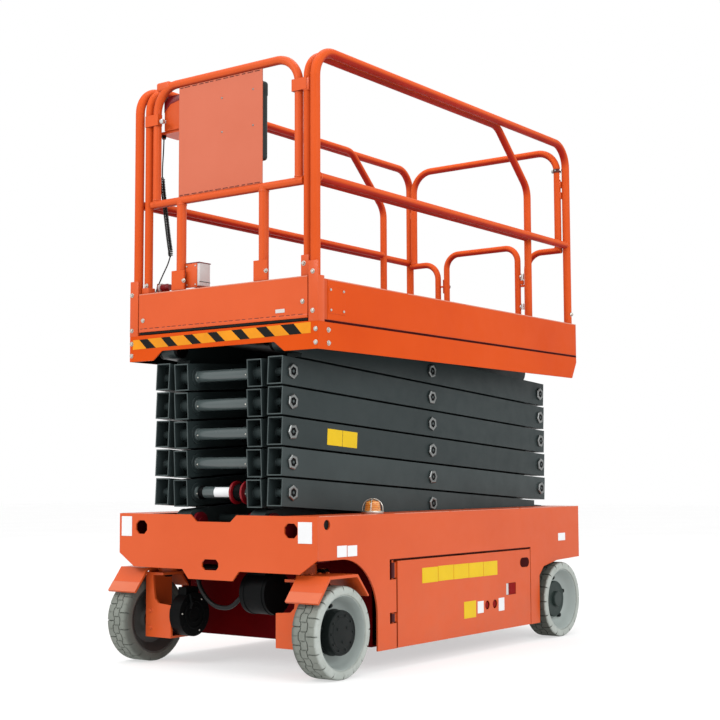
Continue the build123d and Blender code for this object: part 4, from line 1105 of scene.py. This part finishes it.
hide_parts("socket_box")

# document box: rounded shell with a lid seam and a latch
P = Part("document_case", "extension", BLKPLASTIC, BLACK, ZINC)
P.box((0.9860, 1.0400), (-0.0600, 0.1920), (2.2050, 2.5100), BLKPLASTIC, 0.016, 5)
P.box((0.9845, 1.0405), (-0.0612, 0.1932), (2.4850, 2.5590), BLKPLASTIC, 0.015, 5)
P.box((0.9830, 0.9870), (0.0450, 0.0870), (2.4600, 2.5050), BLACK, 0.002, 2)
for z in (2.26, 2.33, 2.40):
    P.box((0.9845, 0.9868), (-0.040, 0.172), (z, z + 0.012), BLKPLASTIC, 0.001, 2)
for y in (-0.02, 0.15):
    P.bolt((1.0400, y, 2.235), (1, 0, 0), 0.005, 0.0035, ZINC, False)
o = P.done(30.0)
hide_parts("document_box")

# control box: body with a keypad face, tray, guarded stick and stop button
P = Part("control_panel_detail", "extension", BLACK, REDPAINT, YELLOW, WHITE, ZINC, ORANGE, RUBBER, BROWN, DARK_RED_AND_SHADE)
P.box((0.9060, 1.0290), (-0.3000, -0.1210), (2.5395, 2.5425), BLACK, 0.001, 2)
P.lathe([(0, 0), (0.0210, 0), (0.0230, 0.004), (0.0190, 0.010), (0.0210, 0.014), (0.0150, 0.020), (0.0165, 0.024),
         (0.0100, 0.030), (0, 0.030)], (0.950, -0.200, 2.5415), (0, 0, 1), RUBBER, 28)
P.lathe([(0, 0), (0.0110, 0), (0.0150, 0.012), (0.0160, 0.030), (0.0120, 0.042), (0, 0.046)], (0.950, -0.200, 2.570),
        (0, 0, 1), BLACK, 24)
P.lathe([(0, 0), (0.0120, 0), (0.0120, 0.008), (0.0180, 0.010), (0.0180, 0.018), (0.0140, 0.022), (0, 0.023)],
        (0.985, -0.150, 2.5420), (0, 0, 1), REDPAINT, 24)
P.lathe([(0, 0), (0.0210, 0), (0.0210, 0.0015), (0, 0.0015)], (0.985, -0.150, 2.5420), (0, 0, 1), YELLOW, 24, False)
for k in range(4):
    P.lathe([(0, 0), (0.0070, 0), (0.0070, 0.004), (0.0055, 0.006), (0, 0.006)], (0.990, -0.285 + 0.024 * k, 2.5420),
            (0, 0, 1), (WHITE, BLACK)[k % 2], 16)
P.box((0.9420, 1.0200), (-0.3900, -0.3100), (2.5750, 2.5770), BLACK, 0.0008, 1)
P.box((0.9280, 1.0330), (-0.3010, -0.2820), (2.4230, 2.5800), BLACK, 0.002, 2)
# dark red block over the upper left of the box: painted shadow under the hoop
P.prism([(-0.4020, 2.5050), (-0.3900, 2.5150), (-0.3650, 2.5400), (-0.3010, 2.5520), (-0.3010, 2.5785), (-0.4020, 2.5785)],
        "x", 0.9290, 1.0320, DARK_RED_AND_SHADE, 0.002)
P.box((0.9300, 1.0300), (-0.1205, -0.1190), (2.4520, 2.4960), BLACK, 0.0004, 1)
for y in (-0.135,):
    for z in (2.432, 2.524):
        P.dome((1.0300, y, z), (1, 0, 0), 0.0045, 0.003, ZINC, 12)
P.lathe([(0.0062, 0), (0.0110, 0), (0.0110, -0.008), (0.0085, -0.018), (0.0062, -0.018)], (1.005, -0.428, 2.4085),
        (0, 0, 1), BLACK, 20, closed=True)
P.done(30.0)

# rear gate: latch, hinge bolts and kick plate welds
P = Part("gate_fittings", "gate", ORANGE, ZINC, STEEL, BLACK)
for z in (1.560, 1.900):
    P.bolt((-1.130, 0.249, z + 0.0100), (0, 0, 1), 0.0060, 0.0045, ZINC, False)
    ring(P, (-1.130, 0.2215, z), (0, 1, 0), 0.0085, mat=ORANGE)
P.box((-1.1440, -1.1160), (-0.2690, -0.2660), (1.880, 1.960), ORANGE, 0.0008, 1)
P.lathe([(0, 0), (0.0055, 0), (0.0055, 0.030), (0, 0.030)], (-1.130, -0.2900, 1.920), (0, 1, 0), ORANGE, 14)
P.lathe([(0, 0), (0.010, 0), (0.014, 0.004), (0.014, 0.016), (0.010, 0.020), (0, 0.020)], (-1.1440, -0.2580, 1.920),
        (-1, 0, 0), BLACK, 20)
for z in (1.748, 1.916):
    P.lathe([(0, 0), (0.0098, 0), (0.0098, 0.030), (0.0080, 0.033), (0, 0.033)], (-1.130, 0.249, z), (0, 0, 1), STEEL, 18)
    P.box((-1.1340, -1.1260), (0.2225, 0.2440), (z + 0.004, z + 0.026), STEEL, 0.001, 2)
    P.bolt((-1.1255, 0.2330, z + 0.015), (1, 0, 0), 0.0050, 0.004, STEEL, False)
for y in (-0.250, 0.220):
    ring(P, (-1.130, y, 1.6215), (0, 0, 1), 0.0170, mat=ORANGE)
P.done(30.0)

# ------------------------------------------------------------------ chassis
P = Part("chassis_labels_and_bolts", "chassis", WHITE, YELLOW, ZINC, ORANGE, BLACK, SHADE_BLACK, LIP_HIGHLIGHT, PALEGREY, BROWN, SEAM)
front_label(P, -0.5550, -0.4900, 0.565, 0.653, 1.1240, WHITE)
front_label(P, 0.4680, 0.5410, 0.556, 0.643, 1.1240, WHITE)
for s in (-1, 1):
    side_plate(P, 0.927, 0.993, 0.496, 0.543, s * 0.568, WHITE)
    side_plate(P, 0.855, 0.922, 0.496, 0.541, s * 0.568, WHITE)
    side_plate(P, -0.981, -0.905, 0.490, 0.529, s * 0.568, WHITE)
    # pale strip on the fold where the deck flange is folded over the side plate: painted highlight
    for x0, x1 in ((-1.130, -0.52), (-0.50, 0.12), (0.14, 0.58), (0.71, 1.112)):
        P.box((x0, x1), tuple(sorted((s * 0.5662, s * 0.5686))), (0.6638, 0.6668), LIP_HIGHLIGHT, 0.0008, 1)
    # shadow gap over the door
    side_plate(P, -0.6120, 0.6180, 0.4652, 0.4698, s * 0.568, SEAM, 0.0005, 0.0)
    side_plate(P, 0.5653, 0.5682, 0.0870, 0.1935, s * 0.568, SEAM, 0.0005, 0.0)
    side_plate(P, 0.5653, 0.5682, 0.2415, 0.3815, s * 0.568, SEAM, 0.0005, 0.0)
    # dark disc in the round eye: painted shade
    P.lathe([(0, 0), (0.0208, 0), (0.0208, 0.005), (0, 0.005)], (1.060, s * 0.5545, 0.631), (0, s, 0), SHADE_BLACK, 24, False)
# rear plate: two blank plates, charger cap and its flap, tail lamps
P.box((-1.1364, -1.1346), (-0.520, -0.400), (0.560, 0.625), WHITE, 0.0006, 1)
P.box((-1.1364, -1.1346), (0.300, 0.420), (0.560, 0.625), YELLOW, 0.0006, 1)
P.box((-1.1410, -1.1346), (0.330, 0.420), (0.440, 0.530), BLACK, 0.004, 3)
P.lathe([(0, 0), (0.026, 0), (0.028, 0.003), (0.028, 0.008), (0.022, 0.011), (0, 0.011)], (-1.1400, 0.375, 0.485),
        (-1, 0, 0), BLACK, 28)
for y in (-0.35, -0.28):
    P.lathe([(0, 0), (0.0140, 0), (0.0140, 0.006), (0.0100, 0.011), (0, 0.012)], (-1.1346, y, 0.480), (-1, 0, 0), BLACK,
            20)
for y in (-0.540, 0.540):
    for z in (0.430, 0.530, 0.635):
        P.bolt((-1.1350, y, z), (-1, 0, 0), 0.0085, 0.006, ZINC)
# joint rings of the pump drum and its clamp
for y in (0.1350, 0.2350):
    P.lathe([(0.0880, -0.004), (0.0925, -0.004), (0.0925, 0.004), (0.0880, 0.004)], (0.996, y, 0.336), (0, 1, 0), BLACK,
            48, closed=True)
for k in range(6):
    a = 2 * pi * k / 6 + 0.2
    P.bolt((0.996 + 0.062 * math.cos(a), 0.1165, 0.336 + 0.062 * math.sin(a)), (0, -1, 0), 0.0060, 0.005, BLACK)
P.lathe([(0.0102, 0), (0.0175, 0.000), (0.0175, 0.008), (0.0135, 0.014), (0.0102, 0.014)], (1.030, 0.1170, 0.318),
        (0, -1, 0), BLACK, 24, closed=True)
P.lathe([(0.0102, 0), (0.0165, 0.000), (0.0165, 0.010), (0.0130, 0.016), (0.0102, 0.016)], (1.024, -0.182, 0.4465),
        (0, 0, -1), BLACK, 24, closed=True)
P.done(30.0)

# door plates
for tag, s in (("left", 1), ("right", -1)):
    P = Part("door_%s_plates" % tag, "door_" + tag, YELLOW, WHITE, BLACK, ZINC, ORANGE, SEAM, PALEGREY, RECESS_SHADE_RED)
    n, x0, x1 = 5, 0.368, -0.288
    for k in range(n):
        a = x0 + (x1 - x0) * k / n
        b_ = x0 + (x1 - x0) * (k + 1) / n + 0.0030
        lift = 0.0006 * ((k * 3) % 4)
        side_plate(P, b_, a, 0.351 + lift, 0.419 + lift, s * 0.568, YELLOW)
    side_plate(P, -0.085, 0.020, 0.165, 0.243, s * 0.568, YELLOW)
    side_plate(P, -0.154, -0.100, 0.180, 0.236, s * 0.568, WHITE)
    side_plate(P, -0.347, -0.294, 0.176, 0.238, s * 0.568, WHITE)
    # lining of the recessed square: pale front flank, red floor painted as the shade in the recess
    side_plate(P, -0.4610, -0.3920, 0.2480, 0.3030, s * 0.5655, RECESS_SHADE_RED, 0.0012, 0.0)
    side_plate(P, -0.3910, -0.3690, 0.2480, 0.3030, s * 0.5655, PALEGREY, 0.0012, 0.0)
    # pull knobs behind the two oval holes, in the painted recess shade colour
    for x in (-0.190, -0.260):
        P.lathe([(0, 0), (0.0175, 0), (0.0175, 0.004), (0.0130, 0.007), (0, 0.007)], (x, s * 0.5585, 0.213), (0, s, 0),
                RECESS_SHADE_RED, 24)
    oval = []
    for k in range(28):
        t = 2 * pi * k / 28
        oval.append((-0.550 + (0.020 if math.cos(t) > 0 else -0.020) + 0.0235 * math.cos(t), 0.397 + 0.0235 * math.sin(t)))
    P.prism(oval, "y", *sorted((s * 0.5681, s * 0.5692)), SEAM)
    for x in (0.52, -0.58):
        for z in (0.13, 0.42):
            P.bolt((x, s * 0.5338, z), (0, -s, 0), 0.0060, 0.004, ZINC, False)
    P.done(30.0)

# beacon: base, ribbed lens and two guard hoops
P = Part("beacon_lamp", "chassis", AMBER, BLACK, ZINC, WHITE)
cx, cy, z0 = 0.645, 0.498, 0.6655
P.lathe([(0, 0), (0.0480, 0), (0.0490, 0.002), (0.0490, 0.010), (0.0460, 0.013), (0, 0.013)], (cx, cy, z0), (0, 0, 1),
        ZINC, 40)
lens = [(0.0370, 0.0125)]
for k in range(9):
    h = 0.0140 + 0.0036 * k
    r = 0.0365 - 0.00045 * k
    lens += [(r, h), (r - 0.0012, h + 0.0018)]
lens += [(0.0310, 0.0480), (0.0270, 0.0530), (0.0190, 0.0570), (0.0090, 0.0590), (0, 0.0595)]
P.lathe([(0, 0.0125)] + lens, (cx, cy, z0), (0, 0, 1), AMBER, 40)
for a in (0.45, 0.45 + pi / 2):
    hoop = []
    for k in range(15):
        t = pi * k / 14
        hoop.append((cx + 0.0455 * math.cos(t) * math.cos(a), cy + 0.0455 * math.cos(t) * math.sin(a),
                     z0 + 0.0100 + 0.0555 * math.sin(t) ** 0.75))
    P.tube(hoop, 0.0022, ZINC, 8)
o = P.done(35.0)
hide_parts("beacon")

# steered corners: pale strip painted as a highlight on each fender, bolts of the drive motor
for tag, s in (("left", 1), ("right", -1)):
    P = Part("fender_%s_trim" % tag, "knuckle_" + tag, FENDER_HIGHLIGHT, ORANGE, ZINC, BLACK)
    nx, nz = 0.7906, 0.6123           # outward normal of the front slope
    a, b_ = (0.984 + 0.1465, 0.3614), (0.984 + 0.1775, 0.3214)
    outline = [(a[0] - nx * 0.0004, a[1] - nz * 0.0004), (b_[0] - nx * 0.0004, b_[1] - nz * 0.0004),
               (b_[0] + nx * 0.0016, b_[1] + nz * 0.0016), (a[0] + nx * 0.0012, a[1] + nz * 0.0012)]
    P.prism(outline, "y", *sorted((s * 0.4300, s * 0.6000)), FENDER_HIGHLIGHT)
    for x in (0.930, 0.984, 1.038):
        P.bolt((x, s * 0.470, 0.4240), (0, 0, 1), 0.0075, 0.005, ORANGE)
    for z in (0.160, 0.235):
        P.bolt((1.0660, s * 0.425, z), (1, 0, 0), 0.0085, 0.006, ORANGE)
    P.lathe([(0, 0), (0.0200, 0), (0.0200, 0.008), (0.0150, 0.012), (0, 0.012)], (0.984, s * 0.400, 0.3925), (0, 0, -1),
            BLACK, 24)
    for k in range(6):
        t = 2 * pi * k / 6 + 0.3
        P.bolt((0.984 + 0.046 * math.cos(t), s * 0.3925, 0.1905 + 0.046 * math.sin(t)), (0, -s, 0), 0.0055, 0.004, ZINC,
               False)
    if s < 0:
        for k in range(9):
            t = 2 * pi * k / 9 + 0.1
            P.dome((0.984 + 0.078 * math.cos(t), -0.2365, 0.2205 + 0.078 * math.sin(t)), (0, 1, 0), 0.0046, 0.0044,
                   (BLACK, ZINC)[k % 3 == 0], 12)
        for r in (0.030, 0.056):
            P.lathe([(r, 0), (r + 0.007, 0), (r + 0.006, 0.005), (r + 0.001, 0.005)], (0.984, -0.2365, 0.2205), (0, 1, 0),
                    BLACK, 40, closed=True)
        P.tube([(1.012, -0.2360, 0.250), (1.016, -0.222, 0.276), (1.012, -0.236, 0.310)], 0.0075, BLACK, 12)
    P.done(30.0)

# ------------------------------------------------------------------ CAD nodes keep their shape and get finishes
FINISH = {
    "orange": ORANGE, "arm": CHARCOAL, "barrel": BLACK, "rod": CHROME, "tyre": TYRE, "rim": RIMGREY,
    "black": BLACK, "dark_metal": BLACK, "rubber": RUBBER, "amber": AMBER, "white": PALEGREY,
}
# shell, door, frame, tray, deck and rail materials carry painted shade; the lowest arms take the lighter arm paint as
# painted light
SPECIAL = {
    "side_panel_left": SHELL_LEFT, "side_panel_right": SHELL_RIGHT, "door_left": DOOR_LEFT, "door_right": DOOR_RIGHT,
    "front_plate": SHELL_FRONT, "chassis_frame": FRAME_PAINTED_SHADE, "belly_tray": TRAY_PAINTED_SHADE, "rear_axle": TRAY_PAINTED_SHADE,
    "platform_deck": DECK_SHADED_UNDERSIDE, "main_rail_left": RAIL, "main_rail_right": RAIL, "rear_rail": RAIL, "gate": RAIL,
    "extension_rail_left": RAIL, "extension_rail_right": RAIL, "front_rail": RAIL_FRONT, "front_panel": PANEL,
    "toe_boards": TOE_SIDES, "outer_arm_1": CHARCOAL_LIT_LOW, "outer_arm_2": CHARCOAL_LIT_LOW,
    "inner_arm_1": CHARCOAL_LIT_LOW,
}
slot_of = {s["node"]: s["material_slot"] for s in frame["record"]["subparts"]}
for name, o in NODES.items():
    mt = SPECIAL.get(name) or FINISH[slot_of[name]]
    o.data.materials.clear()
    o.data.materials.append(mt)
    o.data.set_sharp_from_angle(angle=math.radians(30))
print("node frames", set(tuple(round(v, 4) for r in o.matrix_world for v in r) for o in NODES.values()))

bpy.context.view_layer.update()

fl = bpy.data.meshes.new("floor")
fl.from_pydata([(-30, -30, 0), (30, -30, 0), (30, 30, 0), (-30, 30, 0)], [], [(0, 1, 2, 3)])
floor = bpy.data.objects.new("floor", fl)
scene.collection.objects.link(floor)
FLOOR, nt, b = new_mat("floor_pale")
nt.links.new(ramp(nt, noise(nt, 0.8, 3.0), [(0.3, (0.40, 0.40, 0.40)), (0.7, (0.42, 0.42, 0.42))]), b.inputs["Base Color"])
b.inputs["Roughness"].default_value = 0.9
b.inputs["Specular IOR Level"].default_value = 0.1
b.inputs["Emission Color"].default_value = (1.0, 1.0, 1.0, 1.0)
b.inputs["Emission Strength"].default_value = 0.55
fl.materials.append(FLOOR)
